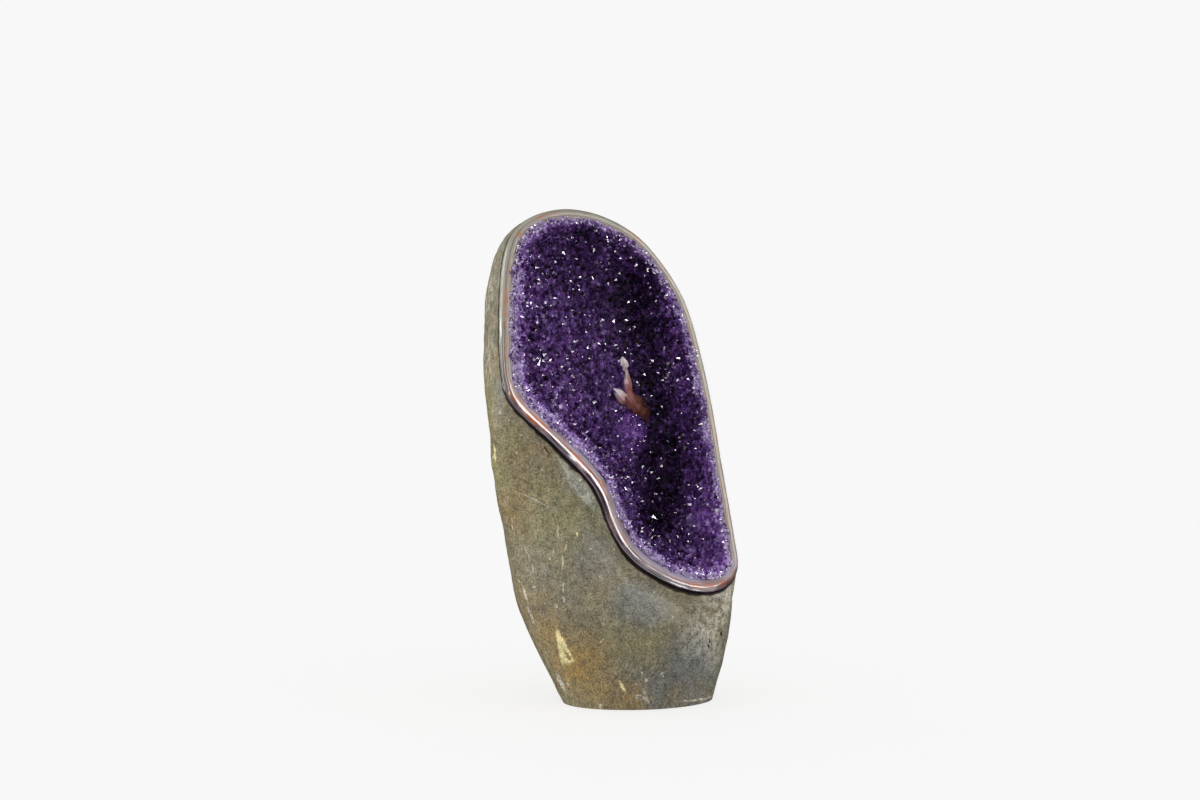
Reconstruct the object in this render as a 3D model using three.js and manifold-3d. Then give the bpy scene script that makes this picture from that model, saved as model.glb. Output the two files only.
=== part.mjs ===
// Amethyst geode, ground to stand by itself: a basalt rind, the agate that lines its hollow,
// and the crust of crystals on the agate, amethyst with one spray of pale points.
// Millimetres, +Z up. The sawn base lies on Z = 0 and the open face looks towards -Y.
import * as THREE from "three";
import { mergeVertices } from "three/addons/utils/BufferGeometryUtils.js";
import Module from "manifold-3d";

// Open face: the plane that the front was ground to, and its outer edge seen square on,
// as [across, up] from the centre, clockwise from the top
const FACE_CENTRE = new THREE.Vector3(-17.5, -11, 131);
const FACE_TILT_DEG = 14;
const FACE_EDGE = [
  [-14, 87],
  [17, 77.5],
  [38, 50],
  [46, 14],
  [50, -34],
  [52, -62],
  [52.5, -73],
  [47, -79.5],
  [38, -82.5],
  [28, -81.5],
  [13, -75],
  [0, -64.5],
  [-7, -50],
  [-11, -36],
  [-29, -15],
  [-43, -1],
  [-48.5, 8],
  [-47.5, 43],
  [-38, 77],
];
const FACE_HALF_WIDTH = 50;
const FACE_HALF_HEIGHT = 84;

// Rind: two ovals below the face, the upper one higher on the left, and the curve from face to hip
const HIP = { x: -5, y: 6, z: 32, across: 48, deep: 39, rise: -9 };
const FOOT = { x: 0, y: 0, z: 0, across: 34, deep: 27, rise: 0 };
const FLARE_DEG = { middle: 8, right: 4, up: 8, down: 68 };
const HIP_LEAN_DEG = { left: 6, right: 12 };
const FACE_PULL = 0.3;
const HIP_PULL = 0.4;
const LUMP_HEIGHT = 1.1;
const LUMP_LENGTH = 46;

// Agate: where its rounded rim starts on the outside, its width across the face, which is
// greatest towards the lower left, and its thickness behind the crystals
const RIM_BACK = 2;
const RIM_WIDTH = 4.6;
const RIM_WIDTH_SWING = 1.5;
const RIM_WIDEST = new THREE.Vector2(-0.95, -0.3);
const RIM_CROWN = 0.4;
const RIM_RISE = 0.9;
const RIND_EDGE = 1.2;
const AGATE_LIP = 0.6;
const AGATE_THICK = 5;

// Hollow: the ends of its deepest line on the face's plane, with the depth there, and its wall's curve
const SPINE_TOP = new THREE.Vector3(29, 40, 25);
const SPINE_FOOT = new THREE.Vector3(33, -42, 36);
const SPINE_EASE = 30;
const WALL_POWER = 1.8;
const HUMMOCK_HEIGHT = 1.6;
const HUMMOCK_LENGTH = 31;

// Crust: its thickness, the crystals that cover it, and a ball of them low in the hollow
const CRUST_THICK = 6;
const CRUST_MARGIN = 1.5;
const CRYSTAL_WIDTH = 5.6;
const CRYSTAL_HEIGHT = 2.6;
const CRYSTAL_ROWS = 14;
const LAST_REACH = 0.07;
const CRYSTAL_SHIFT = 0.5;
const VALLEY_UNEVEN = 0.6;
const SEED = 7;
const BALL = { across: 20, up: -8, radius: 13, height: 8 };

// Spray: where its root stands in the hollow, and its points as [across, up, out] from the root
const SPRAY = { across: 22, up: 5, root: 4.2 };
const SPRAY_POINTS = [
  { from: [0, -1, -2], to: [-7.2, 15.6, 7], width: 3.6 },
  { from: [-5.8, 12.5, 5.6], to: [-9.5, 20.5, 9], width: 4.4 },
  { from: [-1, 1, 0], to: [-13.4, 7.1, 7], width: 4.4 },
];
const POINT_SIDES = 6;
const POINT_WAIST = 0.45;

const GAP = 0.3;
const STATIONS = 60;
const SKIN_ROWS = 11;
const HOLLOW_ROWS = 6;
const RIM_ROWS = 4;

const wasm = await Module();
wasm.setup();

const radians = THREE.MathUtils.degToRad;
const tilt = radians(FACE_TILT_DEG);
const FACE_RIGHT = new THREE.Vector3(1, 0, 0);
const FACE_UP = new THREE.Vector3(0, Math.sin(tilt), Math.cos(tilt));
const FACE_IN = new THREE.Vector3(0, Math.cos(tilt), -Math.sin(tilt));

// A place on the face's plane, or that far behind it.
function onFace(across, up, behind) {
  return FACE_CENTRE.clone()
    .addScaledVector(FACE_RIGHT, across)
    .addScaledVector(FACE_UP, up)
    .addScaledVector(FACE_IN, behind);
}

const edgeCurve = new THREE.CatmullRomCurve3(
  FACE_EDGE.map(([across, up]) => new THREE.Vector3(across, up, 0)),
  true,
);

// The face's outer edge at a share of the way round, and its outward direction in the plane.
function edgeAt(share) {
  const turn = share - Math.floor(share);
  const at = edgeCurve.getPointAt(turn);
  const along = edgeCurve.getTangentAt(turn);
  return {
    at: new THREE.Vector2(at.x, at.y),
    out: new THREE.Vector2(-along.y, along.x),
  };
}

// The edge moved in by a distance, in the plane.
function insetEdge(share, inset) {
  const { at, out } = edgeAt(share);
  return at.addScaledVector(out, -inset);
}

// A ring of points, one for each station round the edge.
function ring(pointAt) {
  return Array.from({ length: STATIONS }, (_, i) => pointAt(i / STATIONS));
}

// Rind

// Where a station of the edge comes down on an oval: the face's top is over the oval's back.
function onOval(oval, share) {
  const { at } = edgeAt(share);
  const angle = Math.atan2(at.y / FACE_HALF_HEIGHT, at.x / FACE_HALF_WIDTH);
  return new THREE.Vector3(
    oval.x + oval.across * Math.cos(angle),
    oval.y + oval.deep * Math.sin(angle),
    oval.z + oval.rise * Math.cos(angle),
  );
}

// The outside's curve from the face's edge, over the back or the side, down to the hip.
function outsideCurve(share) {
  const { at, out } = edgeAt(share);
  const top = onFace(at.x, at.y, 0);
  const hip = onOval(HIP, share);
  const span = top.distanceTo(hip);
  const outward = new THREE.Vector3()
    .addScaledVector(FACE_RIGHT, out.x)
    .addScaledVector(FACE_UP, out.y);
  const flare = radians(
    FLARE_DEG.middle +
      FLARE_DEG.right * out.x +
      FLARE_DEG.up * Math.max(0, out.y) +
      FLARE_DEG.down * Math.max(0, -out.y),
  );
  const leave = new THREE.Vector3()
    .addScaledVector(FACE_IN, Math.cos(flare))
    .addScaledVector(outward, Math.sin(flare));
  const rightward = (1 + (hip.x - HIP.x) / HIP.across) / 2;
  const lean = radians(THREE.MathUtils.lerp(HIP_LEAN_DEG.left, HIP_LEAN_DEG.right, rightward));
  const arrive = new THREE.Vector3(hip.x - HIP.x, hip.y - HIP.y, 0)
    .normalize()
    .multiplyScalar(Math.sin(lean))
    .setZ(Math.cos(lean));
  return new THREE.CubicBezierCurve3(
    top,
    top.clone().addScaledVector(leave, span * FACE_PULL),
    hip.clone().addScaledVector(arrive, span * HIP_PULL),
    hip,
  );
}

// A point of the outside, that far from the face's edge along the curve's start.
function outsideNearEdge(share, distance) {
  const curve = outsideCurve(share);
  const startSpeed = 3 * curve.v0.distanceTo(curve.v1);
  return curve.getPoint(distance / startSpeed);
}

// Broad swells of a worn stone, from -1 to 1.
function swell(point, length) {
  const turn = (2 * Math.PI) / length;
  return (
    (Math.sin(point.x * turn + 1.3) +
      Math.sin(point.y * turn * 1.2 + point.z * turn * 0.5) +
      Math.sin(point.z * turn * 0.9 + 3.5)) /
    3
  );
}

function outsideRow(step) {
  return ring((share) => {
    const point = outsideCurve(share).getPoint(step);
    const away = point.clone().sub(FACE_CENTRE).setZ(0).normalize();
    const fade = Math.sin(Math.PI * step);
    return point.addScaledVector(away, swell(point, LUMP_LENGTH) * LUMP_HEIGHT * fade);
  });
}

// Hollow

function rimWidth(share) {
  return RIM_WIDTH + RIM_WIDTH_SWING * edgeAt(share).out.dot(RIM_WIDEST);
}

// The place on the hollow's deepest line that a station of the edge looks down to, with its depth.
function spineAt(share) {
  const { at } = edgeAt(share);
  const rise = THREE.MathUtils.smoothstep(
    at.y,
    SPINE_FOOT.y - SPINE_EASE,
    SPINE_TOP.y + SPINE_EASE,
  );
  return SPINE_FOOT.clone().lerp(SPINE_TOP, rise);
}

// A place on one of the hollow's nested surfaces. Reach is 1 at the mouth and 0 at the spine.
function inHollow(share, reach, { inset, lip, behind }) {
  const spine = spineAt(share);
  const place = new THREE.Vector2(spine.x, spine.y).lerp(insetEdge(share, inset(share)), reach);
  const depth = spine.z + behind;
  return onFace(place.x, place.y, lip + (depth - lip) * (1 - reach ** WALL_POWER));
}

// Rows of such a surface from the mouth to just short of the spine.
function hollowRows(surface) {
  return Array.from({ length: HOLLOW_ROWS }, (_, row) => {
    const reach = 1 - row / HOLLOW_ROWS;
    return ring((share) => inHollow(share, reach, surface));
  });
}

function middleOf({ behind }) {
  const middle = SPINE_FOOT.clone().lerp(SPINE_TOP, 0.5);
  return onFace(middle.x, middle.y, middle.z + behind);
}

// Nested surfaces, from the rind's inner wall in to the crust's front
const RIND_WALL = {
  inset: () => RIND_EDGE,
  lip: RIM_BACK + GAP,
  behind: CRUST_THICK + AGATE_THICK,
};
const AGATE_BACK = {
  inset: () => RIND_EDGE + GAP,
  lip: RIM_BACK,
  behind: RIND_WALL.behind - GAP,
};
const AGATE_FRONT = {
  inset: rimWidth,
  lip: AGATE_LIP,
  behind: CRUST_THICK,
};
const CRUST_BACK = {
  inset: (share) => rimWidth(share) + GAP,
  lip: AGATE_LIP,
  behind: AGATE_FRONT.behind - GAP,
};
const CRUST_FRONT = {
  inset: (share) => rimWidth(share) + CRUST_MARGIN,
  lip: AGATE_LIP,
  behind: 0,
};

// Skins

// Triangles of a closed skin, gathered point by point.
class Skin {
  points = [];
  faces = [];

  add(point) {
    this.points.push(point);
    return this.points.length - 1;
  }

  addRing(points) {
    return points.map((point) => this.add(point));
  }

  // Joins two rings whose points run the same way round, by whichever next point comes first.
  zip(lower, upper) {
    let i = 0;
    let j = 0;
    while (i < lower.length || j < upper.length) {
      const a = lower[i % lower.length];
      const b = upper[j % upper.length];
      const stepLower = (i + 1) / lower.length <= (j + 1) / upper.length;
      if (j === upper.length || (i < lower.length && stepLower)) {
        i += 1;
        this.faces.push([a, b, lower[i % lower.length]]);
      } else {
        j += 1;
        this.faces.push([a, b, upper[j % upper.length]]);
      }
    }
  }

  fan(ringOfPoints, tip, tipIsLast) {
    ringOfPoints.forEach((a, i) => {
      const b = ringOfPoints[(i + 1) % ringOfPoints.length];
      this.faces.push(tipIsLast ? [a, tip, b] : [b, tip, a]);
    });
  }

  geometry() {
    const made = new THREE.BufferGeometry();
    made.setAttribute(
      "position",
      new THREE.Float32BufferAttribute(this.points.flatMap((p) => p.toArray()), 3),
    );
    made.setIndex(this.faces.flat());
    return made;
  }
}

// A closed skin over rows of stations, ended by a point before the first and after the last.
function skinOver(first, rows, last) {
  const skin = new Skin();
  const rings = rows.map((row) => skin.addRing(row));
  skin.fan(rings[0], skin.add(first), false);
  for (let i = 0; i + 1 < rings.length; i += 1) skin.zip(rings[i], rings[i + 1]);
  skin.fan(rings[rings.length - 1], skin.add(last), true);
  return skin.geometry();
}

function makeRind() {
  const outside = Array.from({ length: SKIN_ROWS }, (_, row) => outsideRow(1 - row / SKIN_ROWS));
  const edge = ring((share) => outsideNearEdge(share, RIM_BACK + GAP));
  return skinOver(
    new THREE.Vector3(FOOT.x, FOOT.y, FOOT.z),
    [
      ring((share) => onOval(FOOT, share)),
      ...outside,
      edge,
      ...hollowRows(RIND_WALL),
    ],
    middleOf(RIND_WALL),
  );
}

// Agate

// The rounded rim, from the outside over the face to the crystals.
function rimRows() {
  return Array.from({ length: RIM_ROWS }, (_, row) => {
    const step = (row + 1) / (RIM_ROWS + 1);
    return ring((share) => {
      const start = outsideNearEdge(share, RIM_BACK);
      const shoulder = insetEdge(share, 0);
      const crown = insetEdge(share, rimWidth(share) * RIM_CROWN);
      const end = inHollow(share, 1, AGATE_FRONT);
      return new THREE.CubicBezierCurve3(
        start,
        onFace(shoulder.x, shoulder.y, -RIM_RISE),
        onFace(crown.x, crown.y, -RIM_RISE),
        end,
      ).getPoint(step);
    });
  });
}

function makeAgate() {
  return skinOver(
    middleOf(AGATE_BACK),
    [
      ...hollowRows(AGATE_BACK).reverse(),
      ring((share) => outsideNearEdge(share, RIM_BACK)),
      ...rimRows(),
      ...hollowRows(AGATE_FRONT),
    ],
    middleOf(AGATE_FRONT),
  );
}

// Crystal crust

// Repeatable random numbers from 0 to 1.
function randomFrom(seed) {
  let state = seed;
  return () => {
    state = (state * 16807) % 2147483647;
    return state / 2147483647;
  };
}

// How far the ball of crystals lifts the crust at a place.
function ballLift(place) {
  const fromCentre = place.clone().sub(FACE_CENTRE);
  const across = fromCentre.dot(FACE_RIGHT) - BALL.across;
  const up = fromCentre.dot(FACE_UP) - BALL.up;
  const share = Math.min(1, (across ** 2 + up ** 2) / BALL.radius ** 2);
  return BALL.height * (1 - share) ** 1.5;
}

// The crust's front at a place, with its hummocks, and the way its crystals point there.
function crustPlace(share, reach) {
  const place = inHollow(share, reach, CRUST_FRONT);
  const step = 0.01;
  const along = inHollow(share + step, reach, CRUST_FRONT).sub(
    inHollow(share - step, reach, CRUST_FRONT),
  );
  const outward = inHollow(share, reach + step, CRUST_FRONT).sub(
    inHollow(share, reach - step, CRUST_FRONT),
  );
  const normal = along.cross(outward).normalize();
  const hummock = swell(place, HUMMOCK_LENGTH) * HUMMOCK_HEIGHT * (1 - reach ** 4);
  place.addScaledVector(normal, hummock + ballLift(place));
  return { place, normal };
}

// Points of one row, each shifted a little along the row and across it.
function crystalRing(skin, random, row, count, heightOf) {
  const rowStep = (1 - LAST_REACH) / CRYSTAL_ROWS;
  return Array.from({ length: count }, (_, i) => {
    const share = (i + (random() - 0.5) * CRYSTAL_SHIFT) / count;
    const shift = row > 0 ? (random() - 0.5) * CRYSTAL_SHIFT : 0;
    const { place, normal } = crustPlace(share, 1 - (row + shift * 0.5) * rowStep);
    return skin.add(place.addScaledVector(normal, heightOf(i)));
  });
}

function ringLength(reach) {
  const points = ring((share) => inHollow(share, reach, CRUST_FRONT));
  return points.reduce((sum, p, i) => sum + p.distanceTo(points[(i + 1) % STATIONS]), 0);
}

// The crust with rows of crystals, each a point between valleys.
function makeDruse() {
  const random = randomFrom(SEED);
  const valleyHeight = () => (random() - 0.5) * VALLEY_UNEVEN;
  const tipHeight = () => CRYSTAL_HEIGHT * (0.6 + 0.8 * random());
  const skin = new Skin();
  const back = hollowRows(CRUST_BACK).map((row) => skin.addRing(row)).reverse();
  skin.fan(back[0], skin.add(middleOf(CRUST_BACK)), false);
  for (let i = 0; i + 1 < back.length; i += 1) skin.zip(back[i], back[i + 1]);
  let below = back[back.length - 1];
  for (let row = 0; row < CRYSTAL_ROWS; row += 1) {
    const reach = 1 - ((1 - LAST_REACH) * (row + 0.5)) / CRYSTAL_ROWS;
    const count = Math.round(ringLength(reach) / CRYSTAL_WIDTH);
    const valley = crystalRing(skin, random, row, count, valleyHeight);
    const tips = crystalRing(skin, random, row + 0.5, 2 * count, (i) =>
      i % 2 ? valleyHeight() : tipHeight(),
    );
    skin.zip(below, valley);
    skin.zip(valley, tips);
    below = tips;
  }
  const last = crystalRing(skin, random, CRYSTAL_ROWS, STATIONS / 2, valleyHeight);
  skin.zip(below, last);
  skin.fan(last, skin.add(middleOf(CRUST_FRONT)), true);
  return skin.geometry();
}

// Spray of points

function toSolid(geometry) {
  const bare = geometry.clone();
  bare.deleteAttribute("normal");
  bare.deleteAttribute("uv");
  const merged = mergeVertices(bare);
  return new wasm.Manifold(
    new wasm.Mesh({
      numProp: 3,
      vertProperties: new Float32Array(merged.attributes.position.array),
      triVerts: new Uint32Array(merged.index.array),
    }),
  );
}

function toGeometry(solid) {
  const { vertProperties, triVerts } = solid.getMesh();
  const made = new THREE.BufferGeometry();
  made.setAttribute("position", new THREE.Float32BufferAttribute(vertProperties, 3));
  made.setIndex(Array.from(triVerts));
  return made;
}

// A six-sided crystal from one place to another, pointed at both ends.
function pointedCrystal(from, to, width) {
  const along = to.clone().sub(from);
  const length = along.length();
  const profile = [
    new THREE.Vector2(0, 0),
    new THREE.Vector2(width / 2, length * POINT_WAIST),
    new THREE.Vector2(0, length),
  ];
  const turn = new THREE.Quaternion().setFromUnitVectors(
    new THREE.Vector3(0, 1, 0),
    along.normalize(),
  );
  return new THREE.LatheGeometry(profile, POINT_SIDES)
    .applyQuaternion(turn)
    .translate(from.x, from.y, from.z);
}

// The crust with its spray, whose root stands where a line straight into the face meets the crust.
function makeCrust() {
  const druse = makeDruse();
  const sight = new THREE.Raycaster(onFace(SPRAY.across, SPRAY.up, 0), FACE_IN);
  const [hit] = sight.intersectObject(new THREE.Mesh(druse));
  const fromRoot = ([across, up, out]) =>
    hit.point
      .clone()
      .addScaledVector(FACE_RIGHT, across)
      .addScaledVector(FACE_UP, up)
      .addScaledVector(FACE_IN, -out);
  const root = new THREE.IcosahedronGeometry(SPRAY.root, 1).translate(...hit.point.toArray());
  const points = SPRAY_POINTS.map(({ from, to, width }) =>
    pointedCrystal(fromRoot(from), fromRoot(to), width),
  );
  return toGeometry(
    [root, ...points].reduce((solid, piece) => solid.add(toSolid(piece)), toSolid(druse)),
  );
}

function mesh(name, geometry, colour, roughness) {
  const made = new THREE.Mesh(
    geometry,
    new THREE.MeshStandardMaterial({ color: colour, roughness, metalness: 0 }),
  );
  made.name = name;
  return made;
}

const geode = new THREE.Group();
geode.add(mesh("basalt_rind", makeRind(), 0x6f6a58, 0.7));
geode.add(mesh("agate_lining", makeAgate(), 0xb08a72, 0.15));
geode.add(mesh("amethyst_crust", makeCrust(), 0x3c1d66, 0.1));

export default geode;
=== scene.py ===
"""Amethyst geode: sanded basalt outside, polished agate rim, amethyst druse and a pale spray inside."""

import math

import bpy
import numpy as np
from bpy.props import FloatProperty, FloatVectorProperty, IntProperty, PointerProperty
from mathutils import Matrix, Vector, noise
from mathutils.bvhtree import BVHTree
from mathutils.kdtree import KDTree


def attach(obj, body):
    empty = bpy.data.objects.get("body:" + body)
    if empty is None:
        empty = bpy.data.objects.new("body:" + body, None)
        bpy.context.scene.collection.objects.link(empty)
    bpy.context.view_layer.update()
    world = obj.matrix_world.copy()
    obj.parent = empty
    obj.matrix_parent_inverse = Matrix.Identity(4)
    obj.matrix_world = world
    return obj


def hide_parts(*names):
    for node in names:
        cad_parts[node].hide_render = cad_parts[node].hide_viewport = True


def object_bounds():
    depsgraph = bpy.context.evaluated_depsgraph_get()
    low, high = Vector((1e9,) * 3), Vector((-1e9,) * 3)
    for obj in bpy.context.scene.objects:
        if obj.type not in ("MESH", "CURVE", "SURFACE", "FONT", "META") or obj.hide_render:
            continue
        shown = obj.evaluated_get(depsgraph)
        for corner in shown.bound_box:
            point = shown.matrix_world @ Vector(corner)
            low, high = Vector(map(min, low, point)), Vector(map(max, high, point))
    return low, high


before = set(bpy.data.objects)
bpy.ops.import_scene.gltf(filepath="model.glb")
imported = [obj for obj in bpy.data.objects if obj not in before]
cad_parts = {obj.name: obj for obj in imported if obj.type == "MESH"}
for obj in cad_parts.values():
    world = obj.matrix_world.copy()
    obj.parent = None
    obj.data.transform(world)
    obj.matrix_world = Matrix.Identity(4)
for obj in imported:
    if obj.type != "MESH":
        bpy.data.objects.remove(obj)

bl_info = {
    "name": "Amethyst Geode",
    "version": (1, 0, 0),
    "blender": (4, 5, 0),
    "location": "View3D > Sidebar > Geode",
    "description": "Models and finishes an amethyst geode around its packed solids",
    "category": "Object",
}

CAD_LOW, CAD_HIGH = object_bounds()
MM = 0.001

# The photograph's frame, in which every pixel below is given
PHOTO_WIDE = 1200
PHOTO_HIGH = 800
SENSOR_MM = 36.0

# How far along a ray that misses a surface its nearest place is looked for, and in how many steps
SEARCH_REACH = 80 * MM
SEARCH_STEPS = 41

# How sharp a corner is that stays when a skin is divided, and when it is shaded
CREASE_ANGLE = math.radians(50)
SHADE_ANGLE = math.radians(40)

# Vertices closer than this are one, and a ray starts this far off a surface
MERGE_GAP = 0.005 * MM
RAY_START = 0.01 * MM

# Heights between which the basalt's edge turns layered, the rim's bands change and its polish dulls
LAYER_HEIGHTS = (150 * MM, 190 * MM)
BAND_HEIGHTS = (120 * MM, 170 * MM)
MATT_HEIGHTS = (158 * MM, 176 * MM)

# The sawn face that the hollow opens in
FACE_CENTRE = Vector((-17.5, -11.0, 131.0)) * MM
FACE_TILT = math.radians(14)
FACE_RIGHT = Vector((1, 0, 0))
FACE_UP = Vector((0, math.sin(FACE_TILT), math.cos(FACE_TILT)))
FACE_IN = Vector((0, math.cos(FACE_TILT), -math.sin(FACE_TILT)))
HOLLOW_WIDE = 50 * MM
HOLLOW_HIGH = 85 * MM

# Where the spray stands on the face, and the size of its root
SPRAY_ACROSS = 22 * MM
SPRAY_UP = 5 * MM
SPRAY_ROOT = 4.2 * MM

# The spray's points, each with its foot and tip as a pixel across, a pixel down and mm out from the root,
# its width in mm, and how pale its two ends are
SPRAY_POINTS = [
    ((625.6, 372.0, 4.6), (621.0, 356.8, 7.5), 4.6, 0.80, 1.00),
    ((629.5, 413.0, -1.0), (625.4, 367.5, 5.0), 4.5, 0.04, 0.70),
    ((631.0, 403.0, -0.5), (612.2, 389.0, 5.2), 4.8, 0.40, 1.00),
    ((630.0, 405.0, -0.5), (616.0, 394.0, 4.8), 4.6, 0.05, 0.75),
    ((634.0, 410.0, -1.0), (627.8, 390.0, 4.4), 5.0, 0.02, 0.45),
    ((641.0, 413.0, -2.0), (624.5, 397.5, 4.6), 6.2, 0.00, 0.24),
    ((643.0, 415.0, -2.0), (630.5, 402.5, 4.4), 7.0, 0.00, 0.14),
    ((641.0, 408.0, -2.0), (632.5, 396.5, 3.8), 6.0, 0.00, 0.12),
    ((646.0, 418.0, -2.0), (637.5, 407.5, 3.6), 6.4, 0.00, 0.06),
]

# Places in the druse, as a pixel, a radius in pixels and, save for the ball, a strength
BALL_SPOT = (636, 431, 24)
# Painted shade: crystals darkened in the deep, shaded parts of the hollow
PAINTED_SHADE_SPOTS = [
    (648, 268, 24, 1.0),
    (636, 292, 30, 1.0),
    (646, 330, 26, 1.0),
    (654, 372, 20, 1.0),
    (662, 405, 18, 1.0),
    (670, 446, 26, 1.0),
    (672, 482, 26, 1.0),
    (654, 516, 22, 1.0),
    (590, 232, 26, 0.6),
    (556, 252, 40, 0.4),
    (590, 270, 50, 0.2),
    (654, 462, 14, 0.8),
    (690, 350, 26, 0.35),
    (700, 410, 26, 0.35),
    (712, 465, 24, 0.3),
]
RICH_SPOTS = [
    (616, 376, 9, 1.0),
    (704, 520, 22, 0.5),
]
BRIGHT_SPOTS = [
    (616, 378, 10, 1.0),
    (640, 428, 12, 1.0),
    (700, 520, 26, 1.6),
    (692, 552, 26, 1.4),
    (650, 556, 18, 1.2),
    (535, 300, 22, 0.6),
    (570, 400, 30, 0.8),
]

# The line of stained crystals beside the spray, as two pixels and a radius in pixels
RUST_LINE = ((629, 398), (642, 413), 9)

# Marks on the basalt, as pixels from and to, and a width in pixels
CREAM_PATCH = [
    ((557.8, 634), (559.5, 646), 6.0),
    ((558.6, 640), (562, 660), 6.0),
    ((561.5, 640), (566, 652), 5.0),
    ((562, 655), (566, 662), 6.0),
    ((566, 648), (571.6, 660.5), 2.6),
    ((565, 662), (572, 661.5), 2.6),
]
CREAM_MARKS = [
    ((620.5, 683), (624.5, 691), 3.0),
    ((576.8, 533), (577.2, 535), 2.0),
    ((494, 447), (495, 460), 2.0),
]
WHITE_SCRATCHES = [
    ((557.6, 527), (558, 536), 1.6),
    ((566.5, 543), (565.5, 548.5), 2.2),
    ((562.2, 555), (562.8, 570), 1.5),
    ((563, 583), (563, 592), 1.3),
    ((563.4, 597), (564.6, 602), 2.4),
    ((556, 605), (556.4, 607), 1.6),
    ((524, 546), (534, 573), 0.9),
    ((522.7, 494), (550, 507), 0.8),
    ((660.5, 674.5), (664, 672), 1.2),
    ((603, 624), (603.4, 625.4), 1.8),
    ((518, 579), (520, 582), 1.4),
    ((553, 549), (553.6, 553), 1.4),
    ((559, 459), (571, 480.5), 1.3),
    ((571, 480.5), (586, 503), 0.9),
    ((516, 451), (517, 453.5), 1.4),
    ((491.5, 338), (492, 347), 1.3),
]
WHITE_PATCHES = [
    ((523, 585), (527, 601), 5.0),
    ((527.5, 611), (532, 622), 6.0),
    ((557, 676), (563, 688), 7.0),
    ((637, 697), (645, 699), 5.0),
    ((644, 692), (648, 702), 3.0),
    ((679, 701), (712, 696), 2.6),
    ((716, 596), (722, 590), 5.0),
    ((725, 642), (726, 650), 2.4),
]
GREY_PATCH = [
    ((570, 476), (589, 497), 12.0),
    ((562, 463), (578, 484), 6.0),
    ((584, 494), (592, 506), 6.0),
    ((716, 595), (727, 585), 8.0),
]
DARK_SPECKS = [
    ((709.4, 640), (709.8, 642), 2.4),
    ((708.5, 645), (708.9, 647), 2.4),
    ((720.4, 633), (721, 635), 2.8),
    ((544, 446.5), (549, 453), 1.6),
    ((575, 468.5), (588, 479), 1.6),
]

# Soft stains on the basalt, and pale spots of painted sheen, as a pixel, a radius in pixels and a strength
RUST_SPOTS = [
    (578, 662, 28, 0.95),
    (552, 634, 24, 0.6),
    (598, 688, 24, 0.6),
    (507, 512, 18, 0.5),
    (536, 600, 26, 0.3),
    (490, 430, 14, 0.35),
    (628, 700, 14, 0.7),
    (715, 630, 18, 0.35),
]
# Pale spots of painted sheen, where the stone's left and right edges look lit by the side lights
SHEEN_SPOTS = [
    (722, 608, 26, 1.0),
    (706, 632, 22, 0.9),
    (716, 652, 16, 0.6),
    (488, 300, 26, 0.5),
    (486, 360, 22, 0.5),
    (492, 250, 20, 0.4),
]
MOSS_SPOTS = [
    (488, 410, 26, 0.8),
    (490, 470, 24, 0.7),
    (512, 440, 16, 0.4),
    (640, 640, 34, 0.4),
    (560, 520, 40, 0.35),
]
BLUE_SPOTS = [
    (694, 672, 40, 1.0),
    (660, 690, 30, 0.7),
    (636, 606, 26, 0.8),
    (600, 560, 26, 0.4),
]

# Dark wedges and iron stains on the agate, as a pixel, a radius in pixels and a strength
PLUM_SPOTS = [
    (547, 448, 9, 0.7),
    (599, 505, 11, 1.0),
    (619, 549, 11, 0.8),
    (656, 578, 13, 0.9),
    (690, 591, 11, 0.9),
]
IRON_SPOTS = [
    (524, 233, 9, 1.4),
    (540, 222, 9, 1.2),
    (507, 285, 20, 0.5),
    (507, 318, 18, 1.0),
    (512, 404, 18, 1.6),
    (530, 421, 18, 1.6),
    (550, 440, 16, 1.2),
    (566, 453, 14, 0.8),
    (584, 466, 18, 1.3),
    (602, 489, 16, 1.2),
    (622, 530, 16, 0.35),
    (700, 588, 20, 1.5),
    (720, 582, 16, 1.1),
    (634, 243, 14, 0.8),
    (662, 272, 16, 0.6),
    (709, 430, 22, 0.6),
    (724, 500, 24, 0.5),
]

# Nicks in the basalt, as a pixel, a radius and a depth in mm
NICKS = [
    (502, 499, 3.2, 0.9),
    (728, 646, 2.6, 0.8),
    (715, 601, 4.0, 0.9),
    (568, 654, 2.4, 0.7),
    (643, 699, 2.2, 0.5),
    (700, 700, 2.2, 0.5),
    (560, 680, 3.0, 0.5),
    (528, 616, 3.0, 0.5),
    (524, 592, 3.0, 0.4),
]


# Settings


def colour(title, about, red, green, blue):
    """A colour setting whose default is given in the 0 to 255 numbers of a picture."""
    return FloatVectorProperty(
        name=title,
        description=about,
        subtype="COLOR",
        size=3,
        min=0.0,
        max=1.0,
        default=[screen_to_light(v) for v in (red, green, blue)],
    )


def screen_to_light(value):
    """The amount of light that a picture's 0 to 255 number stands for."""
    level = value / 255
    if level <= 0.04045:
        return level / 12.92
    return ((level + 0.055) / 1.055) ** 2.4


def length(title, about, millimetres):
    """A length setting, given in millimetres."""
    return FloatProperty(
        name=title,
        description=about,
        subtype="DISTANCE",
        unit="LENGTH",
        default=millimetres * MM,
    )


def share(title, about, default):
    """A setting from 0 to 1."""
    return FloatProperty(name=title, description=about, subtype="FACTOR", min=0, max=1, default=default)


def number(title, about, default):
    """A plain number setting."""
    return FloatProperty(name=title, description=about, default=default)


def angle(title, about, degrees):
    """An angle setting, given in degrees."""
    return FloatProperty(name=title, description=about, subtype="ANGLE", default=math.radians(degrees))


def divisions():
    """The setting for how finely a skin is divided."""
    return IntProperty(name="Detail", description="Times that the skin is divided", default=3, min=1, max=3)


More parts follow.
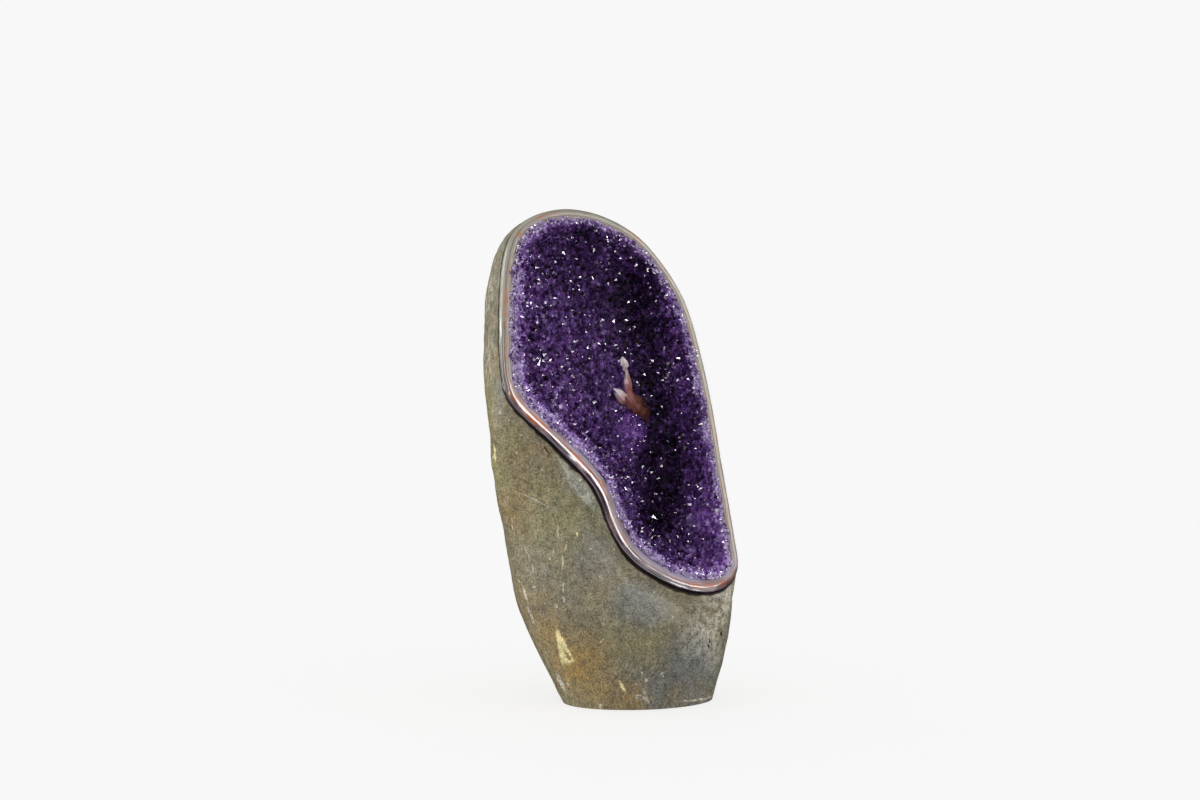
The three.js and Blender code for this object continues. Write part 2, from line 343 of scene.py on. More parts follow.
class BasaltSettings(bpy.types.PropertyGroup):
    """Sizes and colours of the stone's sanded outside."""

    detail: divisions()
    swell: length("Swell", "Height of the slow unevenness left by sanding", 0.5)
    swell_size: length("Swell size", "Distance between two such rises", 16)
    pit: length("Pit", "Depth of the small pits", 0.22)
    pit_size: length("Pit size", "Distance between two pits", 3.5)
    grain_size: length("Grain size", "Width of one mineral grain", 0.8)
    olive: colour("Olive grey", "Main colour of the stone", 128, 119, 94)
    grey: colour("Grey", "Colour of the cooler parts", 109, 108, 96)
    blue: colour("Blue grey", "Colour of the darkest, coolest parts", 104, 106, 103)
    brown: colour("Brown", "Colour of the warmer parts", 128, 112, 80)
    moss: colour("Moss", "Colour of the yellow-green parts", 134, 129, 86)
    rust: colour("Rust", "Colour of the iron stains", 145, 117, 64)
    cream: colour("Cream", "Colour of the filled bubble in the stone", 213, 200, 147)
    white: colour("White", "Colour of scratches and bruises", 178, 173, 156)
    pale: colour("Pale grey", "Colour of the bare patch beside the rim", 152, 151, 140)
    dark: colour("Dark", "Colour of specks and of the seam beside the agate", 28, 22, 18)
    gloss: share("Roughness", "How matt the sanded stone is", 0.42)


class AgateSettings(bpy.types.PropertyGroup):
    """Sizes and colours of the polished rim."""

    detail: divisions()
    bead: length("Bead", "Height of the two rounded ridges that run along the rim", 0.3)
    wobble: length("Wobble", "Height of the slow unevenness left by polishing", 0.2)
    wobble_size: length("Wobble size", "Distance between two such rises", 18.0)
    seam: colour("Seam", "Colour of the line against the basalt", 26, 21, 22)
    plum: colour("Plum", "Colour of the outer band, low on the stone", 56, 38, 52)
    olive: colour("Olive", "Colour of the outer band, high on the stone", 118, 116, 102)
    tan: colour("Tan", "Colour of the inner band, high on the stone", 156, 143, 130)
    mauve: colour("Mauve", "Colour of the middle band", 118, 97, 96)
    lilac: colour("Lilac", "Colour of the inner band", 142, 132, 150)
    frost: colour("Frost", "Colour against the crystals", 188, 178, 196)
    orange: colour("Orange", "Colour of the iron lines", 150, 78, 36)
    white: colour("White", "Colour of the thin pale lines", 196, 190, 188)
    gloss: share("Roughness", "How matt the polish is", 0.1)


class DruseSettings(bpy.types.PropertyGroup):
    """Sizes and colours of the amethyst crystals."""

    seed: IntProperty(name="Seed", description="Which of the random growths is made", default=11)
    width: length("Crystal width", "Width of a usual crystal", 1.6)
    rim_width: length("Rim crystal width", "Width of a crystal close to the rim", 1.15)
    rim_reach: length("Rim reach", "How far in from the rim the small crystals go", 9.0)
    pale_reach: length("Pale reach", "How far in from the rim the colour is washed out", 4.2)
    clump_size: length("Clump size", "Distance between places where the pale crystals reach further", 8.0)
    tallness: number("Tallness", "Height of a crystal over its width", 0.95)
    lean: share("Lean", "How far crystals lean away from straight out", 0.42)
    bed_voxel: length("Bed voxel", "Fineness of the ground that crystals stand on", 0.75)
    bed_lift: length("Bed lift", "How far that ground stands off the agate behind it", 0.4)
    black: colour("Black violet", "Colour in the deepest places", 16, 12, 24)
    deep: colour("Deep violet", "Colour of most crystals", 76, 42, 102)
    violet: colour("Violet", "Colour of the lighter crystals", 134, 92, 168)
    rich: colour("Rich violet", "Colour of the ball and of the lump beside the spray", 118, 64, 172)
    lavender: colour("Lavender", "Colour of crystals near the rim", 186, 160, 214)
    pale: colour("Pale", "Colour of the smallest crystals on the rim", 236, 222, 250)
    rust: colour("Rust", "Colour of the stained crystals beside the spray", 96, 46, 28)
    clear: share("Clearness", "How much light goes through a crystal", 0.6)
    absorption: number("Absorption", "How fast light is lost inside a crystal, per metre", 60.0)
    gloss: share("Roughness", "How matt the crystal faces are", 0.07)


class SpraySettings(bpy.types.PropertyGroup):
    """Colours of the pale points at the back of the hollow."""

    rust: colour("Rust", "Colour of the stained root", 100, 46, 24)
    pink: colour("Pink", "Colour of the stem", 178, 112, 108)
    blush: colour("Blush", "Colour of the points", 214, 190, 192)
    white: colour("White", "Colour of the tips", 230, 216, 218)


class StageSettings(bpy.types.PropertyGroup):
    """Camera, floor and lights."""

    azimuth: angle("Azimuth", "Camera's way round the stone", -24)
    elevation: angle("Elevation", "Camera's height angle", 3.5)
    distance: length("Distance", "From the camera to the stone", 1300)
    scale: length("Scale", "Length that one pixel of the photograph spans at the stone", 0.44)
    foot_across: number("Foot across", "Pixel column of the middle of the foot", 638.0)
    foot_down: number("Foot down", "Pixel row of the middle of the foot", 699.6)
    room_light: number("Room light", "Brightness of the room all round", 0.46)
    floor: colour("Floor", "Colour of the floor", 190, 190, 190)
    floor_glow: number("Floor glow", "Light that the floor gives by itself", 0.71)
    backdrop_glow: number("Backdrop glow", "Brightness of the backdrop", 0.94)


SETTINGS = {
    "geode_basalt": BasaltSettings,
    "geode_agate": AgateSettings,
    "geode_druse": DruseSettings,
    "geode_spray": SpraySettings,
    "geode_stage": StageSettings,
}


# Camera and places


class Sight:
    """The photograph's camera: where it stands, and the ray through each pixel."""

    def __init__(self):
        stage = bpy.context.scene.geode_stage
        turn, rise = stage.azimuth, stage.elevation
        self.right = Vector((math.cos(turn), math.sin(turn), 0))
        self.back = Vector(
            (math.sin(turn) * math.cos(rise), -math.cos(turn) * math.cos(rise), math.sin(rise))
        )
        self.up = self.back.cross(self.right)
        self.focus = stage.distance / stage.scale
        self.lens = self.focus * SENSOR_MM / PHOTO_WIDE
        self.scale = stage.scale
        across = (PHOTO_WIDE / 2 - stage.foot_across) * stage.scale
        above = (stage.foot_down - PHOTO_HIGH / 2) * stage.scale
        self.aim = self.right * across + self.up * above
        self.eye = self.aim + self.back * stage.distance

    def ray(self, across, down):
        """Unit direction through a pixel."""
        side = (across - PHOTO_WIDE / 2) / self.focus
        rise = (PHOTO_HIGH / 2 - down) / self.focus
        return (self.right * side + self.up * rise - self.back).normalized()

    def meets(self, tree, across, down):
        """The place where a pixel's ray first meets a surface, with the surface's normal."""
        place, normal, _, _ = tree.ray_cast(self.eye, self.ray(across, down))
        if place is None:
            return self.nearest(tree, across, down)
        return place, normal

    def crosses(self, place, normal, across, down):
        """Where a pixel's ray crosses a plane."""
        way = self.ray(across, down)
        return self.eye + way * ((place - self.eye).dot(normal) / way.dot(normal))

    def nearest(self, tree, across, down):
        """The place on a surface closest to a pixel's ray that passes beside it."""
        way = self.ray(across, down)
        best = None
        for step in np.linspace(-SEARCH_REACH, SEARCH_REACH, SEARCH_STEPS):
            probe = self.eye + way * ((self.aim - self.eye).length + step)
            place, normal, _, gap = tree.find_nearest(probe)
            if best is None or gap < best[2]:
                best = (place, normal, gap)
        return best[0], best[1]


def tree_of(node):
    """A search tree over the faces of one of the solids."""
    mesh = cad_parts[node].data
    return BVHTree.FromPolygons(
        [v.co.copy() for v in mesh.vertices],
        [tuple(p.vertices) for p in mesh.polygons],
    )


def places_of(mesh):
    """A mesh's vertices as rows of x, y, z."""
    flat = np.empty(len(mesh.vertices) * 3)
    mesh.vertices.foreach_get("co", flat)
    return flat.reshape(-1, 3)


# Modelling helpers


def hold(*things):
    """Selects these objects alone, the last one active."""
    bpy.ops.object.select_all(action="DESELECT")
    for thing in things:
        thing.select_set(True)
    bpy.context.view_layer.objects.active = things[-1]


def editing(select="SELECT"):
    """Goes into edit mode with everything selected, or nothing."""
    bpy.ops.object.mode_set(mode="EDIT")
    bpy.ops.mesh.select_mode(type="VERT")
    bpy.ops.mesh.select_all(action=select)


def done_editing():
    bpy.ops.object.mode_set(mode="OBJECT")


def apply_modifier(piece, kind, **values):
    """Adds a modifier to the held piece, sets it and applies it."""
    bpy.ops.object.modifier_add(type=kind)
    modifier = piece.modifiers[-1]
    for name, value in values.items():
        setattr(modifier, name, value)
    bpy.ops.object.modifier_apply(modifier=modifier.name)


def copy_node(node, name):
    """A new object with a merged copy of a solid's mesh, its triangles paired into quads."""
    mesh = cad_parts[node].data.copy()
    mesh.name = name
    mesh.materials.clear()
    piece = bpy.data.objects.new(name, mesh)
    bpy.context.scene.collection.objects.link(piece)
    hold(piece)
    bpy.ops.mesh.customdata_custom_splitnormals_clear()
    editing()
    bpy.ops.mesh.remove_doubles(threshold=MERGE_GAP)
    bpy.ops.mesh.tris_convert_to_quads(face_threshold=math.pi, shape_threshold=math.pi)
    done_editing()
    return piece


def round_off(piece, levels):
    """Divides a faceted skin into a smooth one that keeps its sharp corners."""
    hold(piece)
    bpy.ops.object.mode_set(mode="EDIT")
    bpy.ops.mesh.select_mode(type="EDGE")
    bpy.ops.mesh.select_all(action="DESELECT")
    bpy.ops.mesh.edges_select_sharp(sharpness=CREASE_ANGLE)
    bpy.ops.transform.edge_crease(value=1.0)
    done_editing()
    apply_modifier(piece, "SUBSURF", levels=levels, render_levels=levels)


def roughen(piece, size, height):
    """Raises and lowers the free part of a held piece, in rises of that size and height."""
    cloud = bpy.data.textures.new("unevenness", "CLOUDS")
    cloud.noise_scale = size
    cloud.noise_depth = 2
    apply_modifier(
        piece,
        "DISPLACE",
        texture=cloud,
        texture_coords="LOCAL",
        strength=height * 2,
        mid_level=0.5,
        vertex_group="free",
    )


def add_prism(name, width, low, high):
    """An upright six-sided prism between two heights."""
    bpy.ops.object.select_all(action="DESELECT")
    bpy.ops.mesh.primitive_cylinder_add(
        vertices=6, radius=width / 2, depth=high - low, location=(0, 0, (low + high) / 2)
    )
    prism = bpy.context.active_object
    prism.name = name
    bpy.ops.object.transform_apply(location=True)
    return prism


def pick_faces(piece, upward):
    """Goes into edit mode with the top faces selected, or at -1 the bottom ones."""
    done_editing()
    for face in piece.data.polygons:
        face.select = face.normal.z * upward > 0.9
    bpy.ops.object.mode_set(mode="EDIT")
    bpy.ops.mesh.select_mode(type="FACE")


def set_values(mesh, name, values):
    """Stores one number for each vertex of a mesh."""
    layer = mesh.attributes.new(name, "FLOAT", "POINT")
    layer.data.foreach_set("value", np.asarray(values, dtype=np.float32))


def get_values(mesh, name):
    """Reads back the numbers that set_values stored."""
    values = np.empty(len(mesh.vertices), dtype=np.float32)
    mesh.attributes[name].data.foreach_get("value", values)
    return values


def weigh(piece, name, weights):
    """A vertex group with a weight for each vertex."""
    group = piece.vertex_groups.new(name=name)
    for index in np.flatnonzero(weights > 0):
        group.add([int(index)], float(weights[index]), "REPLACE")
    return group


def smooth_step(value, low, high):
    """0 below low, 1 above high, and an easy rise between them."""
    level = np.clip((value - low) / (high - low), 0, 1)
    return level * level * (3 - 2 * level)


def gaps_to(tree, places):
    """How far each place is from a surface."""
    return np.array([tree.find_nearest(Vector(p))[3] for p in places])


def on_face(places):
    """How far each place lies to the right of the hollow's middle and above it, as shares of its size."""
    way = places - np.array(FACE_CENTRE)
    return way @ np.array(FACE_RIGHT) / HOLLOW_WIDE, way @ np.array(FACE_UP) / HOLLOW_HIGH


def upper_right(places):
    """How far each place lies towards the hollow's upper right, where the rim is thinnest, from 0 to 1."""
    across, above = on_face(places)
    return smooth_step(0.8 * across + 0.6 * above, 0.1, 0.5)


def crusted(places):
    """How far crystals have grown over the rim at each place, from 0, along the foot, to 1."""
    across, above = on_face(places)
    return np.maximum(upper_right(places), smooth_step(above - 0.6 * across, -0.1, 0.15))


def noises(places, size):
    """A smooth noise at each place, about 0, whose rises lie about a size apart."""
    return np.array([noise.noise(Vector(p) / size) for p in places])


def hand_over(piece, slot, *nodes):
    """Lets a finished piece ride with the stone and stand for its solids."""
    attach(piece, "root")
    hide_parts(*nodes)


# Shading helpers


class Finish:
    """One material under construction: a shader, its output and the nodes that feed it."""

    def __init__(self, name):
        self.material = bpy.data.materials.new(name)
        self.material.use_nodes = True
        self.tree = self.material.node_tree
        self.tree.nodes.clear()
        self.output = self.tree.nodes.new("ShaderNodeOutputMaterial")
        self.shader = self.tree.nodes.new("ShaderNodeBsdfPrincipled")
        self.tree.links.new(self.shader.outputs["BSDF"], self.output.inputs["Surface"])
        self.place = self.tree.nodes.new("ShaderNodeTexCoord").outputs["Object"]

    def put(self, socket, value):
        """Joins a socket to another, or sets its value."""
        if isinstance(value, bpy.types.NodeSocket):
            self.tree.links.new(value, socket)
        else:
            socket.default_value = value

    def set(self, **values):
        """Sets the shader's own sockets, with _ for a space in a name."""
        for name, value in values.items():
            self.put(self.shader.inputs[name.replace("_", " ")], value)

    def node(self, kind, inputs=(), **settings):
        """A new node with its settings and inputs, these by name or number."""
        made = self.tree.nodes.new(kind)
        for name, value in settings.items():
            setattr(made, name, value)
        for key, value in dict(inputs).items():
            self.put(made.inputs[key], value)
        return made

    def value(self, name):
        """A number stored on the mesh."""
        return self.node("ShaderNodeAttribute", attribute_name=name).outputs["Fac"]

    def noise(self, scale, detail=2.0, rough=0.5, place=None):
        """Cloudy numbers about 0.5, with features of about 1 / scale metres."""
        made = self.node(
            "ShaderNodeTexNoise",
            {"Vector": place or self.place, "Scale": scale, "Detail": detail, "Roughness": rough},
        )
        return made.outputs["Fac"]

    def height(self):
        """How high each place is."""
        return self.node("ShaderNodeSeparateXYZ", {0: self.place}).outputs["Z"]

    def math(self, operation, first, second=0.0):
        """One sum with two numbers."""
        return self.node("ShaderNodeMath", {0: first, 1: second}, operation=operation).outputs[0]

    def times(self, first, second):
        return self.math("MULTIPLY", first, second)

    def range(self, value, low, high, to_low=0.0, to_high=1.0):
        """A number eased from one range to another."""
        made = self.node(
            "ShaderNodeMapRange",
            {"Value": value, "From Min": low, "From Max": high, "To Min": to_low, "To Max": to_high},
            interpolation_type="SMOOTHSTEP",
        )
        return made.outputs["Result"]

    def mix(self, amount, first, second, blend="MIX"):
        """Two colours mixed."""
        made = self.node(
            "ShaderNodeMix",
            {0: amount, 6: solid(first), 7: solid(second)},
            data_type="RGBA",
            blend_type=blend,
        )
        return made.outputs[2]

    def ramp(self, value, stops):
        """A colour read from a row of stops, each a place and a colour."""
        made = self.node("ShaderNodeValToRGB", {"Fac": value})
        row = made.color_ramp.elements
        while len(row) < len(stops):
            row.new(0.5)
        for element, (place, tint) in zip(row, stops):
            element.position = place
            element.color = solid(tint)
        return made.outputs["Color"]

    def shaken(self, amount, scale):
        """Object places moved about by a noise, for ragged edges."""
        cloud = self.node("ShaderNodeTexNoise", {"Vector": self.place, "Scale": scale, "Detail": 3.0})
        centred = self.node(
            "ShaderNodeVectorMath", {0: cloud.outputs["Color"], 1: (0.5, 0.5, 0.5)}, operation="SUBTRACT"
        )
        moved = self.node(
            "ShaderNodeVectorMath",
            {0: centred.outputs[0], 1: (amount,) * 3, 2: self.place},
            operation="MULTIPLY_ADD",
        )
        return moved.outputs[0]

    def wander(self, value, amount, scale):
        """A number moved up and down by a noise."""
        cloud = self.noise(scale, 3.0, 0.55)
        moved = self.node("ShaderNodeMath", {0: cloud, 1: amount, 2: -amount / 2}, operation="MULTIPLY_ADD")
        return self.math("ADD", value, moved.outputs[0])

    def patch(self, place, middle, axes, half_sizes, soft):
        """1 inside an oval patch that lies on the surface, easing to 0 at its edge."""
        turn = Matrix(axes).transposed().to_euler()
        local = self.node(
            "ShaderNodeMapping",
            {"Vector": place, "Location": middle, "Rotation": turn, "Scale": half_sizes},
            vector_type="TEXTURE",
        )
        reach = self.node("ShaderNodeVectorMath", {0: local.outputs[0]}, operation="LENGTH")
        return self.range(reach.outputs["Value"], 1.0 - soft, 1.0 + soft, 1.0, 0.0)

    def largest(self, values):
        """The largest of several numbers."""
        top = values[0]
        for value in values[1:]:
            top = self.math("MAXIMUM", top, value)
        return top

    def absorb(self, tint, density):
        """Takes colour out of the light inside a piece, the more the further it goes."""
        inside = self.node("ShaderNodeVolumeAbsorption", {"Color": solid(tint), "Density": density})
        self.tree.links.new(inside.outputs["Volume"], self.output.inputs["Volume"])

    def bump(self, height, distance, strength):
        """A surface that seems to rise and fall with a number."""
        made = self.node("ShaderNodeBump", {"Height": height, "Distance": distance, "Strength": strength})
        return made.outputs["Normal"]


def solid(tint):
    """A colour with its alpha, or a socket as it is."""
    if isinstance(tint, bpy.types.NodeSocket):
        return tint
    return (*tint[:3], 1.0)


# Basalt


class Marks:
    """Turns pixel marks into patches that lie on a surface."""

    STROKE_DEPTH = 3 * MM
    STROKE_SOFT = 0.45
    SPOT_SOFT = 0.8

    def __init__(self, finish, sight, tree):
        self.finish = finish
        self.sight = sight
        self.tree = tree
        self.ragged = finish.shaken(1.3 * MM, 420.0)
        self.cloudy = finish.shaken(16 * MM, 55.0)

    def stroke(self, start, end, width):
        """A ragged stroke between two pixels."""
        first, normal = self.sight.meets(self.tree, *start)
        last, _ = self.sight.meets(self.tree, *end)
        along = last - first
        half = along.length / 2 + width * self.sight.scale / 2
        along.normalize()
        beside = normal.cross(along).normalized()
        out = along.cross(beside)
        wide = width * self.sight.scale / 2
        sizes = (half, wide, self.STROKE_DEPTH)
        middle = (first + last) / 2
        return self.finish.patch(self.ragged, middle, (along, beside, out), sizes, self.STROKE_SOFT)

    def strokes(self, rows):
        return self.finish.largest([self.stroke(*row) for row in rows])

    def spot(self, across, down, radius, strength):
        """A soft round stain about a pixel."""
        middle, _ = self.sight.meets(self.tree, across, down)
        size = radius * self.sight.scale
        axes = (FACE_RIGHT, Vector((0, 1, 0)), Vector((0, 0, 1)))
        inside = self.finish.patch(self.cloudy, middle, axes, (size,) * 3, self.SPOT_SOFT)
        return self.finish.times(inside, strength)

    def spots(self, rows):
        return self.finish.largest([self.spot(*row) for row in rows])


def basalt_finish(sight, tree):
    """Sanded basalt: mottled olive grey, speckled, stained with iron and scratched."""
    look = bpy.context.scene.geode_basalt
    finish = Finish("sanded_basalt")
    marks = Marks(finish, sight, tree)
    mottle = finish.noise(300.0, 4.0, 0.7)
    grain = finish.noise(1 / look.grain_size, 3.0, 0.8)
    tint = stained_stone(finish, marks, look, mottle)
    tint = scratched_stone(finish, marks, look, mottle, tint)
    tint = speckled_stone(finish, look, mottle, grain, tint)
    tint = layered_edge(finish, look, tint)
    height = finish.math("ADD", grain, finish.times(mottle, 1.4))
    finish.set(
        Base_Color=tint,
        Roughness=finish.range(mottle, 0.3, 0.7, look.gloss - 0.06, look.gloss + 0.12),
        IOR=1.5,
        Normal=finish.bump(height, 0.14 * MM, 0.6),
    )
    return finish.material


def stained_stone(finish, marks, look, mottle):
    """The stone's own colours, the soft stains on them, and pale spots of painted sheen on its edges."""
    broad = finish.range(finish.noise(22.0, 4.0, 0.6), 0.38, 0.64)
    medium = finish.range(finish.noise(95.0, 5.0, 0.65), 0.32, 0.7)
    tint = finish.mix(broad, look.olive, look.grey)
    tint = finish.mix(finish.times(medium, 0.5), tint, look.brown)
    tint = finish.mix(marks.spots(MOSS_SPOTS), tint, look.moss)
    tint = finish.mix(marks.spots(BLUE_SPOTS), tint, look.blue)
    rust = finish.times(marks.spots(RUST_SPOTS), finish.range(mottle, 0.36, 0.6, 0.6, 1.0))
    elsewhere = finish.range(finish.noise(14.0, 3.0, 0.6), 0.58, 0.74, 0.0, 0.5)
    tint = finish.mix(finish.math("MAXIMUM", rust, elsewhere), tint, look.rust)
    # Painted sheen: the stone's left and right edges are lightened as if lit
    washed = finish.times(marks.spots(SHEEN_SPOTS), finish.range(mottle, 0.3, 0.6))
    return finish.mix(finish.times(washed, 0.9), tint, look.white)


def scratched_stone(finish, marks, look, mottle, tint):
    """The bare patches, bruises, scratches, filled bubbles and specks on the stone's colour."""
    bare = finish.times(marks.strokes(GREY_PATCH), finish.range(mottle, 0.3, 0.55, 0.6, 1.0))
    tint = finish.mix(bare, tint, look.pale)
    broken = finish.range(finish.noise(700.0, 2.0, 0.6), 0.36, 0.52)
    tint = finish.mix(finish.times(marks.strokes(WHITE_PATCHES), broken), tint, look.white)
    tint = finish.mix(finish.times(marks.strokes(WHITE_SCRATCHES), 0.8), tint, look.white)
    flecks = finish.range(finish.noise(330.0, 1.0, 0.4), 0.735, 0.77, 0.0, 0.8)
    tint = finish.mix(flecks, tint, look.white)
    tint = finish.mix(marks.strokes(CREAM_PATCH + CREAM_MARKS), tint, look.cream)
    return finish.mix(marks.strokes(DARK_SPECKS), tint, look.dark)


def speckled_stone(finish, look, mottle, grain, tint):
    """The light and dark of the mineral grains, and the dark dots among them."""
    streak = finish.noise(330.0, 3.0, 0.6, place=upright_streaks(finish))
    for cloud, contrast in ((grain, 0.5), (mottle, 0.22), (streak, 0.06)):
        shade = finish.range(cloud, 0.3, 0.7, 1 - contrast, 1 + contrast)
        tint = finish.mix(1.0, tint, grey_of(finish, shade), "MULTIPLY")
    dot_scale = 1 / look.grain_size * 0.6
    dots = finish.range(finish.noise(dot_scale, 1.0, 0.5), 0.64, 0.72, 0.0, 0.4)
    return finish.mix(dots, tint, look.dark)


def layered_edge(finish, look, tint):
    """The stone beside the rim: thin layers high up, and a dark seam all along it, both a dark joint and
    painted contact shadow against the agate.
    """
    rim_gap = finish.value("rim_gap")
    layers = finish.noise(1.0, 3.0, 0.7, place=along_layer(finish, finish.wander(rim_gap, 0.6, 60.0), 0.9))
    high = finish.range(finish.height(), *LAYER_HEIGHTS)
    shown = finish.times(finish.range(rim_gap, 3.0, 8.0, 0.8, 0.0), high)
    tint = finish.mix(finish.times(shown, finish.range(layers, 0.46, 0.36)), tint, look.dark)
    tint = finish.mix(finish.times(shown, finish.range(layers, 0.54, 0.66)), tint, look.pale)
    # Dark joint against the agate, which also serves as painted contact shadow under the rim
    seam = finish.range(finish.wander(rim_gap, 2.4, 150.0), 0.45, 0.85, 0.92, 0.0)
    return finish.mix(seam, tint, look.dark)


def upright_streaks(finish):
    """Places squeezed along the stone's height, so that a noise there runs up and down."""
    made = finish.node("ShaderNodeMapping", {"Vector": finish.place, "Scale": (1.0, 1.0, 0.14)})
    return made.outputs[0]


def grey_of(finish, value):
    """A grey of that brightness."""
    return finish.node("ShaderNodeCombineColor", {0: value, 1: value, 2: value}).outputs["Color"]


def press_nick(piece, middle, normal, radius, depth):
    """Presses a soft dent into a piece that is being edited."""
    bpy.ops.mesh.select_all(action="DESELECT")
    done_editing()
    places = places_of(piece.data)
    near = int(np.argmin(((places - np.array(middle)) ** 2).sum(axis=1)))
    piece.data.vertices[near].select = True
    bpy.ops.object.mode_set(mode="EDIT")
    bpy.ops.transform.translate(
        value=normal * -depth,
        use_proportional_edit=True,
        proportional_edit_falloff="SMOOTH",
        proportional_size=radius,
    )


class GEODE_OT_basalt(bpy.types.Operator):
    """Model the stone's sanded basalt outside"""

    bl_idname = "geode.basalt"
    bl_label = "Basalt Stone"
    bl_options = {"REGISTER", "UNDO"}

    # Distances from the rim, and heights over the base, between which the skin turns uneven
    RIM_MARGIN = (0.6 * MM, 6 * MM)
    BASE_MARGIN = (0.1 * MM, 5 * MM)

    def execute(self, context):
        look = context.scene.geode_basalt
        sight = Sight()
        tree = tree_of("basalt_rind")
        piece = copy_node("basalt_rind", "basalt_stone")
        round_off(piece, look.detail)
        places = places_of(piece.data)
        rim_gap = gaps_to(tree_of("agate_lining"), places)
        free = smooth_step(rim_gap, *self.RIM_MARGIN) * smooth_step(places[:, 2], *self.BASE_MARGIN)
        weigh(piece, "free", free)
        roughen(piece, look.swell_size, look.swell)
        roughen(piece, look.pit_size, look.pit)
        editing("DESELECT")
        for across, down, radius, depth in NICKS:
            middle, normal = sight.meets(tree, across, down)
            press_nick(piece, middle, normal, radius * MM, depth * MM)
        done_editing()
        bpy.ops.object.shade_smooth_by_angle(angle=SHADE_ANGLE)
        set_values(piece.data, "rim_gap", rim_gap / MM)
        piece.data.materials.append(basalt_finish(sight, tree))
        hand_over(piece, "basalt", "basalt_rind")
        return {"FINISHED"}


# Agate


def agate_finish(sight, tree):
    """Polished agate: bands along the rim, from a dark seam to pale lilac."""
    look = bpy.context.scene.geode_agate
    finish = Finish("polished_agate")
    marks = Marks(finish, sight, tree)
    layer = finish.wander(finish.value("layer"), 0.2, 70.0)
    upper = finish.math("MAXIMUM", finish.range(finish.height(), *BAND_HEIGHTS), finish.value("thin"))
    band = finish.mix(upper, low_bands(finish, marks, look, layer), high_bands(finish, look, layer))
    band = thin_lines(finish, look, layer, upper, band)
    band = iron_lines(finish, marks, look, layer, band)
    uneven = finish.range(finish.noise(400.0, 2.0), 0.3, 0.7, look.gloss - 0.03, look.gloss + 0.05)
    matt_above = finish.range(finish.wander(finish.height(), 0.01, 90.0), *MATT_HEIGHTS)
    matt = finish.math("MAXIMUM", matt_above, finish.range(layer, 0.3, 0.48))
    finish.set(
        Base_Color=band,
        Roughness=finish.math("ADD", uneven, finish.times(matt, 0.3)),
        IOR=1.54,
        Subsurface_Weight=0.1,
        Subsurface_Scale=1.0 * MM,
        Coat_Weight=finish.math("SUBTRACT", 0.6, finish.times(matt, 0.5)),
        Coat_Roughness=0.03,
    )
    return finish.material


def low_bands(finish, marks, look, layer):
    """The bands low on the stone, with dark wedges that reach in from the seam."""
    wedges = marks.spots(PLUM_SPOTS)
    bands = finish.ramp(
        finish.math("SUBTRACT", layer, finish.times(wedges, 0.16)),
        [
            (0.06, look.seam),
            (0.12, look.plum),
            (0.24, look.plum),
            (0.34, look.mauve),
            (0.42, look.mauve),
            (0.52, look.lilac),
            (0.75, look.lilac),
            (0.95, look.frost),
        ],
    )
    broken_line = finish.range(finish.noise(90.0, 3.0, 0.6), 0.44, 0.6, 0.0, 0.75)
    outer = finish.math("SUBTRACT", finish.range(layer, 0.1, 0.18), wedges)
    lighter = finish.times(broken_line, finish.math("MAXIMUM", outer, 0.0))
    return finish.mix(lighter, bands, look.mauve)


def high_bands(finish, look, layer):
    """The bands high on the stone."""
    return finish.ramp(
        layer,
        [
            (0.04, look.seam),
            (0.1, look.olive),
            (0.45, look.olive),
            (0.58, look.tan),
            (0.8, look.tan),
            (1.0, look.frost),
        ],
    )


def thin_lines(finish, look, layer, upper, band):
    """Thin pale lines along the bands, and dusky ones that are stronger high up."""
    fade = finish.range(finish.noise(45.0, 2.0), 0.35, 0.65)
    fine = finish.noise(1.0, 4.0, 0.75, place=along_layer(finish, layer, 26.0))
    pale = finish.times(finish.range(fine, 0.54, 0.66, 0.0, 0.75), fade)
    band = finish.mix(finish.times(pale, finish.range(layer, 0.1, 0.2)), band, look.white)
    coarse = finish.noise(1.0, 3.0, 0.6, place=along_layer(finish, layer, 17.0))
    dusk = finish.times(finish.range(coarse, 0.48, 0.36), finish.range(upper, 0.0, 1.0, 0.4, 0.85))
    return finish.mix(dusk, band, look.plum)


def iron_lines(finish, marks, look, layer, band):
    """Broken orange lines where iron has stained the middle of the bands."""
    elsewhere = finish.range(finish.noise(24.0, 2.0, 0.5), 0.56, 0.66, 0.0, 0.4)
    stained = finish.math("MAXIMUM", marks.spots(IRON_SPOTS), elsewhere)
    off_line = finish.math("ABSOLUTE", finish.math("SUBTRACT", finish.wander(layer, 0.3, 40.0), 0.42))
    reach = finish.math("SUBTRACT", off_line, finish.times(stained, 0.12))
    iron = finish.range(reach, -0.06, 0.03, 1.0, 0.0)
    broken = finish.range(finish.noise(170.0, 4.0, 0.65), 0.38, 0.56, 0.1, 0.9)
    return finish.mix(finish.times(iron, broken), band, look.orange)


def along_layer(finish, layer, count):
    """A place that changes with the layer alone, so that a noise there makes bands."""
    stretched = finish.times(layer, count)
    return finish.node("ShaderNodeCombineXYZ", {0: stretched}).outputs[0]


